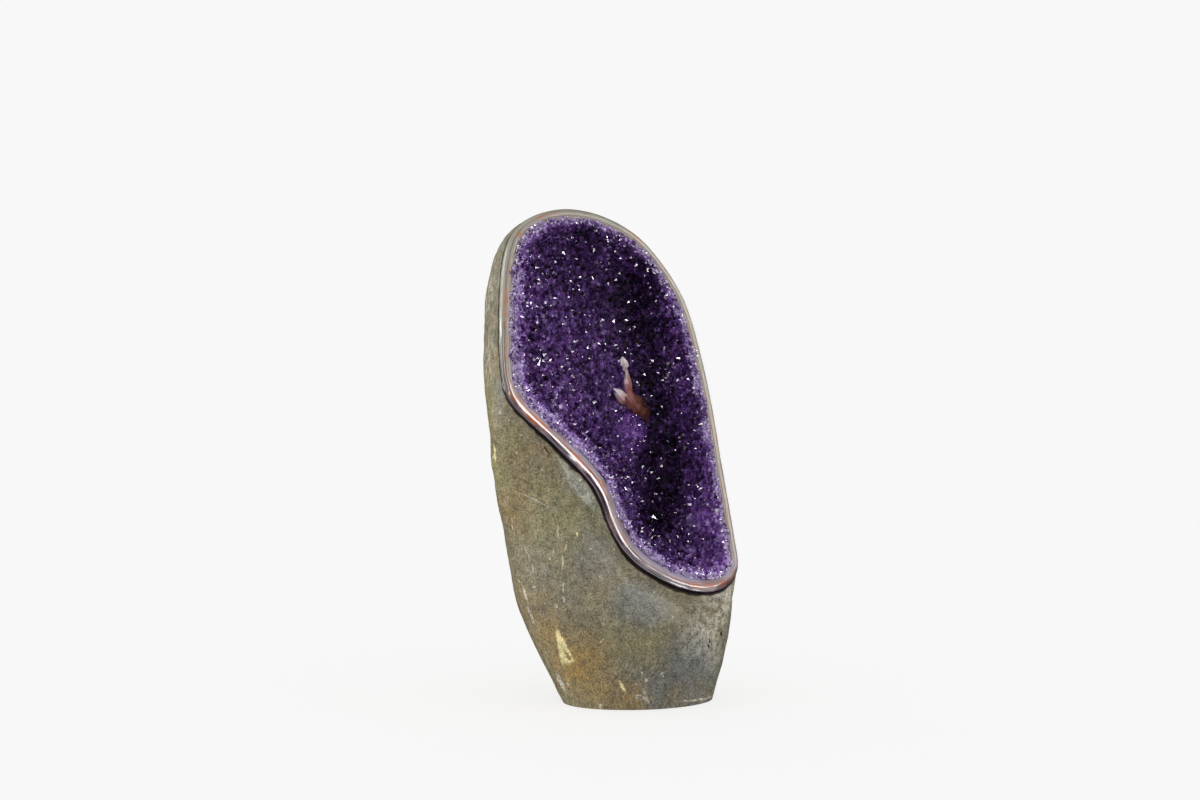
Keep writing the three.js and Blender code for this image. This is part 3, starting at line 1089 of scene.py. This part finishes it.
class GEODE_OT_agate(bpy.types.Operator):
    """Model the polished agate rim"""

    bl_idname = "geode.agate"
    bl_label = "Agate Rim"
    bl_options = {"REGISTER", "UNDO"}

    # Middle and width of the two ridges, as shares across the rim, and how high each is
    RIDGES = ((0.17, 0.07, 0.7), (0.46, 0.17, 1.0))
    # Distances from the basalt between which the ridges set in
    SEAM_MARGIN = (0.4 * MM, 1.2 * MM)

    def execute(self, context):
        look = context.scene.geode_agate
        piece = copy_node("agate_lining", "agate_rim")
        round_off(piece, look.detail)
        places = places_of(piece.data)
        crust = tree_of("amethyst_crust")
        to_rind = gaps_to(tree_of("basalt_rind"), places)
        to_crust = gaps_to(crust, places)
        layer = to_rind / (to_rind + to_crust)
        starts = [Vector(place) - FACE_IN * RAY_START for place in places]
        bare = np.array([crust.ray_cast(start, -FACE_IN)[0] is None for start in starts], dtype=float)
        free = bare * smooth_step(to_rind, *self.SEAM_MARGIN)
        ridge = sum(high * np.exp(-(((layer - middle) / wide) ** 2)) for middle, wide, high in self.RIDGES)
        weigh(piece, "free", free)
        weigh(piece, "ridge", free * ridge)
        apply_modifier(piece, "DISPLACE", strength=look.bead, mid_level=0.0, vertex_group="ridge")
        roughen(piece, look.wobble_size, look.wobble)
        bpy.ops.object.shade_smooth_by_angle(angle=SHADE_ANGLE)
        set_values(piece.data, "layer", layer)
        set_values(piece.data, "bare", bare)
        set_values(piece.data, "thin", upper_right(places))
        piece.data.materials.append(agate_finish(Sight(), tree_of("agate_lining")))
        hand_over(piece, "agate", "agate_lining")
        return {"FINISHED"}


# Amethyst


def model_crystal(name, shoulder, tip_lean, tip_size):
    """One closed six-sided crystal, 1 wide at its shoulder, tapering to a foot at 0 and a tip at 1."""
    crystal = add_prism(name, 1, 0, shoulder)
    pick_faces(crystal, 1)
    bpy.ops.mesh.extrude_region_move(TRANSFORM_OT_translate={"value": (*tip_lean, 1 - shoulder)})
    bpy.ops.transform.resize(value=(*tip_size, 1), center_override=(*tip_lean, 1))
    pick_faces(crystal, -1)
    bpy.ops.transform.resize(value=(0, 0, 1), center_override=(0, 0, 0))
    bpy.ops.mesh.select_all(action="SELECT")
    bpy.ops.mesh.remove_doubles(threshold=0.02)
    bpy.ops.mesh.quads_convert_to_tris()
    bpy.ops.mesh.normals_make_consistent(inside=False)
    done_editing()
    return crystal


CRYSTAL_FORMS = [
    # shoulder height, how far the tip leans across and back, and the size of the tip's flat
    (0.42, (0.00, 0.00), (0.0, 0.0)),
    (0.34, (0.16, 0.05), (0.0, 0.0)),
    (0.50, (-0.10, 0.14), (0.0, 0.0)),
    (0.46, (0.06, -0.08), (0.42, 0.0)),
    (0.30, (0.02, 0.22), (0.0, 0.0)),
]


def model_forms():
    """The few crystal forms that the druse repeats, as points and triangles."""
    forms = []
    for number, form in enumerate(CRYSTAL_FORMS):
        crystal = model_crystal(f"crystal_form_{number}", *form)
        corners = np.array([tuple(p.vertices) for p in crystal.data.polygons])
        forms.append((places_of(crystal.data), corners))
        mesh = crystal.data
        bpy.data.objects.remove(crystal)
        bpy.data.meshes.remove(mesh)
    return forms


class Ground:
    """The front of a mesh, on which places can be drawn at random."""

    LEAST_FACING = 0.02

    def __init__(self, mesh, keep=None):
        mesh.calc_loop_triangles()
        places = places_of(mesh)
        normals = np.array([tuple(n.vector) for n in mesh.vertex_normals])
        corners = np.array([tuple(t.vertices) for t in mesh.loop_triangles])
        flats = np.array([tuple(t.normal) for t in mesh.loop_triangles])
        front = flats @ np.array(-FACE_IN) > self.LEAST_FACING
        if keep is not None:
            front &= keep[corners].min(axis=1)
        self.corners = places[corners[front]]
        self.normals = normals[corners[front]]
        sides = self.corners[:, 1:] - self.corners[:, :1]
        self.areas = np.linalg.norm(np.cross(sides[:, 0], sides[:, 1]), axis=1) / 2

    def draw(self, chance, count):
        """Random places, evenly spread, with the ground's normal at each."""
        picked = chance.choice(len(self.areas), size=count, p=self.areas / self.areas.sum())
        weights = chance.dirichlet((1.0, 1.0, 1.0), size=count)[:, :, None]
        places = (self.corners[picked] * weights).sum(axis=1)
        normals = (self.normals[picked] * weights).sum(axis=1)
        return places, unit(normals)


def unit(rows):
    """Rows of vectors, each made one long."""
    return rows / np.linalg.norm(rows, axis=-1, keepdims=True)


def cells_about(across, back, up):
    """A cell of a grid and the 26 cells that touch it."""
    steps = (-1, 0, 1)
    return [(across + i, back + j, up + k) for i in steps for j in steps for k in steps]


def give_room(places, widths):
    """Indices of the places kept so that none crowds another, first come first kept."""
    cells = np.floor(places / widths.max()).astype(int).tolist()
    taken = {}
    kept = []
    for index, cell in enumerate(cells):
        near = [other for close in cells_about(*cell) for other in taken.get(close, ())]
        if near:
            gaps = np.linalg.norm(places[near] - places[index], axis=1)
            if (gaps < (widths[near] + widths[index]) / 2).any():
                continue
        taken.setdefault(tuple(cell), []).append(index)
        kept.append(index)
    return np.array(kept)


def uneven(chance, spread, count):
    """Random factors about 1."""
    return np.exp(chance.normal(0.0, spread, size=count))


def axes_about(chance, outward):
    """Two directions across each outward one, turned at random."""
    side = unit(np.cross(outward, unit(chance.normal(size=outward.shape))))
    return side, np.cross(outward, side)


def grow_crystals(name, forms, chance, places, outward, widths, heights, values):
    """Joins one crystal at each place into a single object that stores the values, such as tones."""
    side, other = axes_about(chance, outward)
    kinds = chance.integers(0, len(forms), size=len(places))
    points, faces = [], []
    stored = {key: [] for key in values}
    total = 0
    for kind, (shape, corners) in enumerate(forms):
        here = np.flatnonzero(kinds == kind)
        wide = widths[here, None, None]
        grown = (
            places[here, None, :]
            + side[here, None, :] * shape[None, :, 0:1] * wide
            + other[here, None, :] * shape[None, :, 1:2] * wide
            + outward[here, None, :] * shape[None, :, 2:3] * heights[here, None, None]
        )
        starts = total + np.arange(len(here))[:, None, None] * len(shape)
        points.append(grown.reshape(-1, 3))
        faces.append((corners[None, :, :] + starts).reshape(-1, 3))
        for key, numbers in values.items():
            stored[key].append(np.repeat(numbers[here], len(shape)))
        total += len(here) * len(shape)
    mesh = bpy.data.meshes.new(name)
    mesh.from_pydata(np.concatenate(points).tolist(), [], np.concatenate(faces).tolist())
    for key, numbers in stored.items():
        set_values(mesh, key, np.concatenate(numbers))
    piece = bpy.data.objects.new(name, mesh)
    bpy.context.scene.collection.objects.link(piece)
    return piece


def violet_of(finish, shake, scale):
    """The amethyst's colour at its tone, from 0, black violet, to 1, nearly white, under any rust."""
    look = bpy.context.scene.geode_druse
    violet = finish.ramp(
        finish.wander(finish.value("tone"), shake, scale),
        [(0.0, look.black), (0.3, look.deep), (0.55, look.violet), (0.8, look.lavender), (1.0, look.pale)],
    )
    violet = finish.mix(finish.value("rich"), violet, look.rich)
    return finish.mix(finish.value("stain"), violet, look.rust)


def amethyst_finish():
    """Clear violet crystal whose depth of colour follows each crystal's own tone."""
    look = bpy.context.scene.geode_druse
    finish = Finish("amethyst_crystal")
    finish.set(
        Base_Color=violet_of(finish, 0.5, 800.0),
        Roughness=look.gloss,
        IOR=1.545,
        Transmission_Weight=look.clear,
    )
    finish.absorb(look.violet, look.absorption)
    return finish.material


def bed_finish():
    """The fine-grained amethyst that the crystals stand on."""
    finish = Finish("amethyst_bed")
    finish.set(
        Base_Color=violet_of(finish, 0.3, 700.0),
        Roughness=0.7,
        Specular_IOR_Level=0.1,
        Normal=finish.bump(finish.noise(900.0, 2.0), 0.3 * MM, 0.8),
    )
    return finish.material


# Distances from the rim between which the bed is smoothed, how often, and the share of its faces kept
BED_MARGIN = (0.8 * MM, 4 * MM)
BED_SMOOTHINGS = 34
BED_KEPT = 0.12


def model_bed(look, hollow):
    """The crust's ground: remeshed, smoothed inside the rim, thinned out and lifted off the agate."""
    bed = copy_node("amethyst_crust", "amethyst_druse")
    apply_modifier(bed, "REMESH", mode="VOXEL", voxel_size=look.bed_voxel)
    inner = smooth_step(hollow.rim_gap(places_of(bed.data)), *BED_MARGIN)
    weigh(bed, "inner", inner)
    apply_modifier(bed, "SMOOTH", factor=0.5, iterations=BED_SMOOTHINGS, vertex_group="inner")
    apply_modifier(bed, "DECIMATE", ratio=BED_KEPT)
    apply_modifier(
        bed,
        "SHRINKWRAP",
        target=bpy.data.objects["agate_rim"],
        wrap_mode="OUTSIDE",
        offset=look.bed_lift,
        vertex_group="inner",
    )
    bpy.ops.object.shade_smooth()
    return bed


def rim_finder():
    """A search tree over the bare part of the polished rim."""
    rim = bpy.data.objects["agate_rim"].data
    shown = np.flatnonzero(get_values(rim, "bare") * get_values(rim, "layer") > 0.35)
    places = places_of(rim)
    finder = KDTree(len(shown))
    for index in shown:
        finder.insert(places[index], int(index))
    finder.balance()
    return finder


class Hollow:
    """What the crystals follow: the rim, the ball, the spray and the places of painted shade."""

    def __init__(self):
        sight = Sight()
        tree = tree_of("amethyst_crust")
        self.rim = rim_finder()
        self.ball, _ = sight.meets(tree, *BALL_SPOT[:2])
        self.ball_size = BALL_SPOT[2] * sight.scale
        # Places where shade is painted into the crystals' tone
        self.dark = self.spots_on(sight, tree, PAINTED_SHADE_SPOTS)
        self.bright = self.spots_on(sight, tree, BRIGHT_SPOTS)
        self.rich = self.spots_on(sight, tree, RICH_SPOTS)
        self.rust_ends = [np.array(sight.meets(tree, *pixel)[0]) for pixel in RUST_LINE[:2]]
        self.rust_size = RUST_LINE[2] * sight.scale
        self.spray = spray_lines()

    def spots_on(self, sight, tree, rows):
        """Places on the crystals about pixels, with their radius and strength."""
        return [
            (sight.meets(tree, across, down)[0], radius * sight.scale, strength)
            for across, down, radius, strength in rows
        ]

    def rim_gap(self, places):
        return np.array([self.rim.find(p)[2] for p in places])

    def lower_left(self, places):
        """How far the nearest rim lies to the lower left, 1, or to the upper right, -1."""
        nearest = np.array([tuple(self.rim.find(p)[0]) for p in places])
        return unit(places - nearest + 1e-9) @ np.array(FACE_RIGHT * 0.8 + FACE_UP * 0.6)

    def on_ball(self, places):
        gap = np.linalg.norm(places - np.array(self.ball), axis=1)
        return 1 - smooth_step(gap, 0.7 * self.ball_size, 1.15 * self.ball_size)

    def closeness(self, places, spots):
        """A spot's strength in its middle, fading to 0 away from all of them."""
        close = np.zeros(len(places))
        for middle, size, strength in spots:
            gap = np.linalg.norm(places - np.array(middle), axis=1)
            close = np.maximum(close, strength * np.exp(-((gap / size) ** 2)))
        return close

    def richness(self, places):
        return np.maximum(0.9 * self.on_ball(places), self.closeness(places, self.rich))

    def stain(self, places):
        return np.exp(-((gap_to_line(places, *self.rust_ends) / self.rust_size) ** 4))

    def clear_of_spray(self, places, room):
        clear = np.ones(len(places), dtype=bool)
        for start, end in self.spray:
            clear &= gap_to_line(places, start, end) > room
        return clear


def gap_to_line(places, start, end):
    """How far each place is from a straight line between two ends."""
    way = end - start
    reach = np.clip((places - start) @ way / (way @ way), 0, 1)
    return np.linalg.norm(places - (start + reach[:, None] * way), axis=1)


class GEODE_OT_druse(bpy.types.Operator):
    """Grow the amethyst druse on the hollow's wall"""

    bl_idname = "geode.druse"
    bl_label = "Amethyst Druse"
    bl_options = {"REGISTER", "UNDO"}

    TRIES = 90000
    SPRAY_ROOM = 2.7 * MM
    # How much widths and heights vary, and the least and most that a width is changed by
    WIDTH_SPREAD = 0.32
    WIDTH_LIMITS = (0.5, 1.5)
    HEIGHT_SPREAD = 0.22
    # How much finer and straighter the crystals on the ball are
    BALL_FINER = 0.42
    BALL_STRAIGHTER = 0.4
    # The share of its width that a crystal keeps free of others, and of its height that is in the ground
    SPACING = 0.86
    SUNK = 0.25
    # What a crystal is enlarged by in the end, so that it touches those about it
    WIDER = 1.12
    TALLER = 1.25
    # The usual tone, how much it varies, and what changes it
    TONE = 0.41
    TONE_SPREAD = 0.18
    # Tone taken off in the deep parts of the hollow, as painted shade
    PAINTED_SHADE_PLACES = -0.35
    BRIGHT_PLACES = 0.12
    BALL = 0.1
    GROUND = -0.15
    # The tone gained where the colour is washed out, how much that varies, and how near the rim it stays
    WASHED = 0.48
    WASHED_SPREAD = 0.16
    WASHED_LEAST = 0.4 * MM

    def execute(self, context):
        look = context.scene.geode_druse
        chance = np.random.default_rng(look.seed)
        hollow = Hollow()
        bed = model_bed(look, hollow)
        places, normals = Ground(bed.data).draw(chance, self.TRIES)
        free = hollow.clear_of_spray(places, self.SPRAY_ROOM)
        places, normals = places[free], normals[free]
        ball = hollow.on_ball(places)
        inward = smooth_step(hollow.rim_gap(places), 0.0, look.rim_reach)
        widths = look.rim_width + (look.width - look.rim_width) * inward
        varied = np.clip(uneven(chance, self.WIDTH_SPREAD, len(places)), *self.WIDTH_LIMITS)
        widths *= varied * (1 - self.BALL_FINER * ball)
        kept = give_room(places, widths * self.SPACING)
        places, normals, widths, ball = places[kept], normals[kept], widths[kept], ball[kept]
        lean = chance.normal(0.0, look.lean, size=places.shape)
        outward = unit(normals + lean * (1 - self.BALL_STRAIGHTER * ball[:, None]))
        heights = widths * look.tallness * uneven(chance, self.HEIGHT_SPREAD, len(places))
        sunk = places - outward * heights[:, None] * self.SUNK
        values = {
            "tone": self.tones(look, chance, hollow, places),
            "rich": chance.uniform(0.3, 1.0, size=len(places)) * hollow.richness(places),
            "stain": hollow.stain(places),
        }
        sizes = (widths * self.WIDER, heights * self.TALLER)
        crystals = grow_crystals("crystals", model_forms(), chance, sunk, outward, *sizes, values)
        self.finish_bed(bed, self.tones(look, chance, hollow, places_of(bed.data)), hollow)
        crystals.data.materials.append(amethyst_finish())
        hold(crystals, bed)
        bpy.ops.object.join()
        hand_over(bed, "amethyst", "amethyst_crust")
        return {"FINISHED"}

    def finish_bed(self, bed, tones, hollow):
        """Stores the bed's values, a little darker than the crystals, and gives it its material."""
        places = places_of(bed.data)
        set_values(bed.data, "tone", np.maximum(tones + self.GROUND, 0.0))
        set_values(bed.data, "stain", hollow.stain(places))
        set_values(bed.data, "ground", np.ones(len(places)))
        bed.data.materials.append(bed_finish())

    def tones(self, look, chance, hollow, places):
        """How light each place is, from 0, black violet, to 1, nearly white."""
        clump = noises(places, look.clump_size)
        reach = look.pale_reach * (0.75 + 0.4 * hollow.lower_left(places)) * (1 + 0.8 * clump)
        washed = np.exp(-((hollow.rim_gap(places) / np.maximum(reach, self.WASHED_LEAST)) ** 2))
        tones = self.TONE + chance.normal(0.0, self.TONE_SPREAD, size=len(places))
        # Painted shade in the deep parts of the hollow
        tones += self.PAINTED_SHADE_PLACES * hollow.closeness(places, hollow.dark)
        tones += self.BRIGHT_PLACES * hollow.closeness(places, hollow.bright)
        tones += self.BALL * hollow.on_ball(places)
        tones += washed * chance.normal(self.WASHED, self.WASHED_SPREAD, size=len(places))
        return np.clip(tones, 0.04, 0.98)


class GEODE_OT_fringe(bpy.types.Operator):
    """Grow the smallest, palest crystals where the druse meets the rim"""

    bl_idname = "geode.fringe"
    bl_label = "Rim Crystals"
    bl_options = {"REGISTER", "UNDO"}

    TRIES = 30000
    WIDTH = 0.95 * MM
    WIDTH_SPREAD = 0.28
    WIDER = 1.1
    TALLNESS = 1.1
    LEAN = 0.4
    # The share of its width that a crystal keeps free of others, and of its height that is in the ground
    SPACING = 0.72
    SUNK = 0.2
    # How far into the hollow the fringe reaches, and over how wide a groove
    REACH = 2.2 * MM
    GROOVE = 1.2 * MM
    # The shares across the rim that it may start from, and where its lobed border lies
    OUTERMOST = 0.45
    BARE_BORDER = 0.84
    CRUSTED_BORDER = 0.64
    THIN_RIM = 0.12
    LOBES = 0.25
    LOBE_SIZE = 5 * MM
    # Tones of the white crystals and of the others, and how much they vary
    WHITE = 0.94
    VIOLET = 0.6
    TONE_SPREAD = 0.08

    def execute(self, context):
        look = context.scene.geode_druse
        chance = np.random.default_rng(look.seed + 1)
        rim = bpy.data.objects["agate_rim"].data
        edge = (get_values(rim, "bare") > 0.5) & (get_values(rim, "layer") > self.OUTERMOST)
        bed = bpy.data.objects["amethyst_druse"].data
        close = (get_values(bed, "ground") > 0.5) & (Hollow().rim_gap(places_of(bed)) < self.REACH)
        on_rim = Ground(rim, edge).draw(chance, self.TRIES)
        on_bed = Ground(bed, close).draw(chance, self.TRIES)
        crust = tree_of("amethyst_crust")
        over_groove = self.between(crust, *on_rim)
        places, normals = map(np.concatenate, zip(on_rim, on_bed, over_groove))
        order = chance.permutation(len(places))
        places, normals = places[order], normals[order]
        inside = self.rim_share(crust, places) > self.border(places)
        places, normals = places[inside], normals[inside]
        widths = self.WIDTH * uneven(chance, self.WIDTH_SPREAD, len(places))
        kept = give_room(places, widths * self.SPACING)
        places, normals, widths = places[kept], normals[kept], widths[kept]
        outward = unit(normals + chance.normal(0.0, self.LEAN, size=places.shape))
        heights = widths * self.TALLNESS
        white_share = 0.85 - 0.2 * crusted(places) + 0.15 * upper_right(places)
        white_share += 0.8 * noises(places, look.clump_size)
        white = chance.random(len(places)) < white_share
        tones = np.where(white, self.WHITE, self.VIOLET)
        tones = tones + chance.normal(0.0, self.TONE_SPREAD, size=len(places))
        values = {"tone": np.clip(tones, 0.3, 1.0)}
        sunk = places - outward * heights[:, None] * self.SUNK
        sizes = (widths * self.WIDER, heights)
        piece = grow_crystals("amethyst_fringe", model_forms(), chance, sunk, outward, *sizes, values)
        piece.data.materials.append(bpy.data.materials["amethyst_crystal"])
        hand_over(piece, "amethyst", "amethyst_crust")
        return {"FINISHED"}

    def rim_share(self, crust, places):
        """How far across the rim each place lies, from 0 at the basalt to 1 at the druse."""
        to_rind = gaps_to(tree_of("basalt_rind"), places)
        return to_rind / (to_rind + gaps_to(crust, places))

    def border(self, places):
        """The share across the rim that the crystals reach out to, in lobes."""
        straight = self.BARE_BORDER + (self.CRUSTED_BORDER - self.BARE_BORDER) * crusted(places)
        thin = self.THIN_RIM * upper_right(places)
        return straight + thin + self.LOBES * noises(places, self.LOBE_SIZE)

    def between(self, crust, places, normals):
        """Places over the groove between the rim and the druse, half way from one to the other."""
        found = [crust.find_nearest(Vector(p)) for p in places]
        near = np.array([gap < self.GROOVE for _, _, _, gap in found])
        across = np.array([tuple(place) for place, _, _, _ in found])
        return ((places + across) / 2)[near], normals[near]


# Spray


def spray_root():
    """Where a line straight into the face meets the spray's root, moved in to the root's middle."""
    tree = tree_of("amethyst_crust")
    start = FACE_CENTRE + FACE_RIGHT * SPRAY_ACROSS + FACE_UP * SPRAY_UP
    place, _, _, _ = tree.ray_cast(start - FACE_IN * 0.1, FACE_IN)
    return place + FACE_IN * SPRAY_ROOT


def spray_ends():
    """Foot and tip of each of the spray's points: where a pixel's ray meets a plane along the face."""
    sight = Sight()
    root = spray_root()
    return [
        [sight.crosses(root - FACE_IN * out * MM, FACE_IN, across, down) for across, down, out in row[:2]]
        for row in SPRAY_POINTS
    ]


def spray_lines():
    """The line that each point of the spray stands on."""
    return [(np.array(foot), np.array(tip)) for foot, tip in spray_ends()]


def spray_finish():
    """Pale quartz, stained from the root up."""
    look = bpy.context.scene.geode_spray
    finish = Finish("pale_quartz")
    tone = finish.wander(finish.value("tone"), 0.26, 380.0)
    tint = finish.ramp(tone, [(0.0, look.rust), (0.4, look.pink), (0.7, look.blush), (1.0, look.white)])
    finish.set(
        Base_Color=tint,
        Roughness=0.28,
        IOR=1.545,
        Transmission_Weight=0.25,
        Normal=finish.bump(finish.noise(700.0, 2.0), 0.08 * MM, 0.4),
    )
    return finish.material


# A point of the spray, as shares of its length and width: its waist, its tip's lean, flats and bevels
WAIST_LOW = 0.35
WAIST_HIGH = 0.65
TIP_LEAN = (0.12, 0.05)
FLAT_SIZE = 0.06
BEVEL_SIZE = 0.03


def model_spray_point(name, start, end, width, tones):
    """A six-sided point with a waist and a foot, turned and moved on to its line, with its tones stored."""
    point = add_prism(name, width, WAIST_LOW, WAIST_HIGH)
    for upward, waist, reach, lean in ((1, WAIST_HIGH, 1, TIP_LEAN), (-1, WAIST_LOW, 0, (0, 0))):
        pick_faces(point, upward)
        moved = [share_of_width * width for share_of_width in lean]
        bpy.ops.mesh.extrude_region_move(TRANSFORM_OT_translate={"value": (*moved, reach - waist)})
        bpy.ops.transform.resize(value=(FLAT_SIZE, FLAT_SIZE, 1), center_override=(*moved, reach))
    bpy.ops.mesh.select_all(action="SELECT")
    bpy.ops.mesh.bevel(offset=width * BEVEL_SIZE, segments=1, affect="EDGES", clamp_overlap=True)
    bpy.ops.mesh.normals_make_consistent(inside=False)
    done_editing()
    along = np.clip(places_of(point.data)[:, 2], 0, 1)
    set_values(point.data, "tone", tones[0] + (tones[1] - tones[0]) * along)
    way = end - start
    turn = way.to_track_quat("Z", "Y").to_matrix().to_4x4()
    stretch = Matrix.Diagonal((1, 1, way.length, 1))
    point.data.transform(Matrix.Translation(start) @ turn @ stretch)
    return point


class GEODE_OT_spray(bpy.types.Operator):
    """Model the pale spray of points that grows beside the ball"""

    bl_idname = "geode.spray"
    bl_label = "Pale Spray"
    bl_options = {"REGISTER", "UNDO"}

    def execute(self, context):
        points = []
        for number, (ends, row) in enumerate(zip(spray_ends(), SPRAY_POINTS)):
            _, _, width, *tones = row
            points.append(model_spray_point(f"spray_point_{number}", *ends, width * MM, tones))
        hold(*points)
        bpy.ops.object.join()
        spray = bpy.context.active_object
        spray.name = "pale_spray"
        spray.data.name = "pale_spray"
        spray.data.materials.append(spray_finish())
        hand_over(spray, "amethyst", "amethyst_crust")
        return {"FINISHED"}


# Stage


LIGHTS = [
    # name, azimuth and elevation in degrees, distance, width and height in metres, brightness
    ("left_softbox", -80, 34, 1.1, 0.36, 0.40, 15.6),
    ("right_softbox", 46, 28, 1.2, 0.30, 0.55, 10.0),
    ("top_softbox", -20, 80, 1.1, 0.50, 0.40, 6.5),
    ("left_strip", -112, 10, 1.0, 0.10, 0.80, 16.0),
    ("right_strip", 96, 12, 1.0, 0.10, 0.80, 9.0),
]
RIM_GLEAMS = [
    # the same, for lights that only show as reflections in the polished rim
    ("left_panel", -72, 14, 1.0, 0.16, 0.6, 4.0),
    ("left_line", -38, 16, 1.2, 0.06, 0.6, 13.0),
    ("table_panel", -12, -20, 0.3, 0.6, 0.12, 2.5),
]
GLEAMS = [
    # the same, in the rim and in the crystals
    ("front_panel", 1, 12.5, 1.2, 0.46, 0.42, 15.0),
    ("low_panel", 24, 3, 1.2, 0.34, 0.14, 20.0),
]
GLINTS = [
    # the same, in the crystals alone
    ("high_glint", -14, 36, 1.2, 0.15, 0.15, 40.0),
    ("right_glint", 30, 44, 1.2, 0.15, 0.15, 36.0),
    ("low_glint", -46, 6, 1.2, 0.15, 0.15, 36.0),
    ("left_glint", -78, 32, 1.2, 0.15, 0.15, 34.0),
    ("top_glint", -30, 64, 1.2, 0.15, 0.15, 34.0),
    ("side_glint", 56, 20, 1.2, 0.15, 0.15, 34.0),
    ("upper_left_glint", -50, 40, 1.2, 0.15, 0.15, 34.0),
]
STONES = ("basalt_stone", "agate_rim")
CRYSTALS = ("amethyst_druse", "amethyst_fringe", "pale_spray")
FLOOR_RADIUS = 7.0
BACKDROP_HEIGHT = 6.0


def lit_group(name, pieces):
    """A collection of the pieces that a light falls on."""
    group = bpy.data.collections.new(name)
    for piece in pieces:
        group.objects.link(bpy.data.objects[piece])
    return group


def add_light(lit, name, turn_degrees, rise_degrees, distance, wide, high, brightness):
    """A soft light on a sphere about the stone's middle, turned towards it."""
    middle = (CAD_LOW + CAD_HIGH) / 2
    turn, rise = math.radians(turn_degrees), math.radians(rise_degrees)
    way = Vector((math.sin(turn) * math.cos(rise), -math.cos(turn) * math.cos(rise), math.sin(rise)))
    bpy.ops.object.light_add(type="AREA", location=middle + way * distance)
    light = bpy.context.active_object
    light.name = name
    light.rotation_euler = way.to_track_quat("Z", "Y").to_euler()
    light.data.shape = "RECTANGLE"
    light.data.size = wide
    light.data.size_y = high
    light.data.energy = brightness * math.pi * wide * high
    light.light_linking.receiver_collection = lit
    light.visible_camera = False
    return light


def glowing_paint(name, tint, glow, shine):
    """A matt paint that also gives some white light by itself."""
    finish = Finish(name)
    finish.set(
        Base_Color=solid(tint),
        Roughness=0.9,
        Specular_IOR_Level=shine,
        Emission_Color=(1, 1, 1, 1),
        Emission_Strength=glow,
    )
    return finish.material


def add_floor(stage):
    """A wide pale floor."""
    bpy.ops.object.select_all(action="DESELECT")
    bpy.ops.mesh.primitive_circle_add(vertices=96, radius=FLOOR_RADIUS, fill_type="NGON")
    floor = bpy.context.active_object
    floor.name = "studio_floor"
    floor.data.materials.append(glowing_paint("floor_paint", stage.floor, stage.floor_glow, 0.1))
    floor.visible_glossy = False
    return floor


def add_backdrop(stage):
    """A pale wall all round, which lights nothing and is only seen behind the stone."""
    bpy.ops.object.select_all(action="DESELECT")
    bpy.ops.mesh.primitive_cylinder_add(
        vertices=96,
        radius=FLOOR_RADIUS * 0.98,
        depth=BACKDROP_HEIGHT,
        end_fill_type="NOTHING",
        location=(0, 0, BACKDROP_HEIGHT / 2 - 0.02),
    )
    wall = bpy.context.active_object
    wall.name = "studio_backdrop"
    bpy.ops.object.transform_apply(location=True)
    wall.data.materials.append(glowing_paint("backdrop_paint", (0, 0, 0), stage.backdrop_glow, 0.0))
    wall.visible_diffuse = False
    wall.visible_glossy = False
    wall.visible_transmission = False
    wall.visible_shadow = False
    return wall


def add_camera():
    """The camera where the photograph was taken from."""
    sight = Sight()
    bpy.ops.object.camera_add(location=sight.eye)
    camera = bpy.context.active_object
    camera.name = "photo_camera"
    camera.rotation_euler = Matrix((sight.right, sight.up, sight.back)).transposed().to_euler()
    camera.data.sensor_width = SENSOR_MM
    camera.data.lens = sight.lens
    camera.data.clip_start = 0.05
    camera.data.clip_end = 50
    bpy.context.scene.camera = camera


class GEODE_OT_stage(bpy.types.Operator):
    """Set the floor, the backdrop, the lights and the camera"""

    bl_idname = "geode.stage"
    bl_label = "Stage"
    bl_options = {"REGISTER", "UNDO"}

    def execute(self, context):
        stage = context.scene.geode_stage
        add_floor(stage)
        add_backdrop(stage)
        stones = lit_group("lit_stones", STONES)
        crystals = lit_group("lit_crystals", CRYSTALS)
        for name, *numbers in LIGHTS:
            add_light(stones, name, *numbers)
            add_light(crystals, f"{name}_on_crystals", *numbers).visible_glossy = False
        rim = lit_group("lit_rim", ["agate_rim"])
        both = lit_group("lit_rim_and_crystals", ["agate_rim", *CRYSTALS])
        for group, rows in ((rim, RIM_GLEAMS), (both, GLEAMS), (crystals, GLINTS)):
            for row in rows:
                add_light(group, *row).visible_diffuse = False
        add_camera()
        world = bpy.data.worlds.new("studio_room")
        world.use_nodes = True
        room = world.node_tree.nodes["Background"]
        room.inputs["Color"].default_value = (1, 1, 1, 1)
        room.inputs["Strength"].default_value = stage.room_light
        context.scene.world = world
        world.cycles_visibility.glossy = False
        context.scene.view_settings.view_transform = "Standard"
        return {"FINISHED"}


# Panel and registration


STEPS = (
    GEODE_OT_basalt,
    GEODE_OT_agate,
    GEODE_OT_druse,
    GEODE_OT_fringe,
    GEODE_OT_spray,
    GEODE_OT_stage,
)


class GEODE_PT_steps(bpy.types.Panel):
    """The geode's pieces, in the order in which they are made"""

    bl_idname = "GEODE_PT_steps"
    bl_label = "Amethyst Geode"
    bl_space_type = "VIEW_3D"
    bl_region_type = "UI"
    bl_category = "Geode"

    def draw(self, context):
        for step in STEPS:
            self.layout.operator(step.bl_idname)
        for name, group in SETTINGS.items():
            box = self.layout.box()
            box.label(text=group.__doc__)
            for setting in group.__annotations__:
                box.prop(getattr(context.scene, name), setting)


CLASSES = (*SETTINGS.values(), *STEPS, GEODE_PT_steps)


def register():
    for made in CLASSES:
        bpy.utils.register_class(made)
    for name, group in SETTINGS.items():
        setattr(bpy.types.Scene, name, PointerProperty(type=group))


def unregister():
    for name in SETTINGS:
        delattr(bpy.types.Scene, name)
    for made in reversed(CLASSES):
        bpy.utils.unregister_class(made)


def main():
    register()
    bpy.ops.geode.basalt()
    bpy.ops.geode.agate()
    bpy.ops.geode.druse()
    bpy.ops.geode.fringe()
    bpy.ops.geode.spray()
    bpy.ops.geode.stage()


if __name__ == "__main__":
    main()
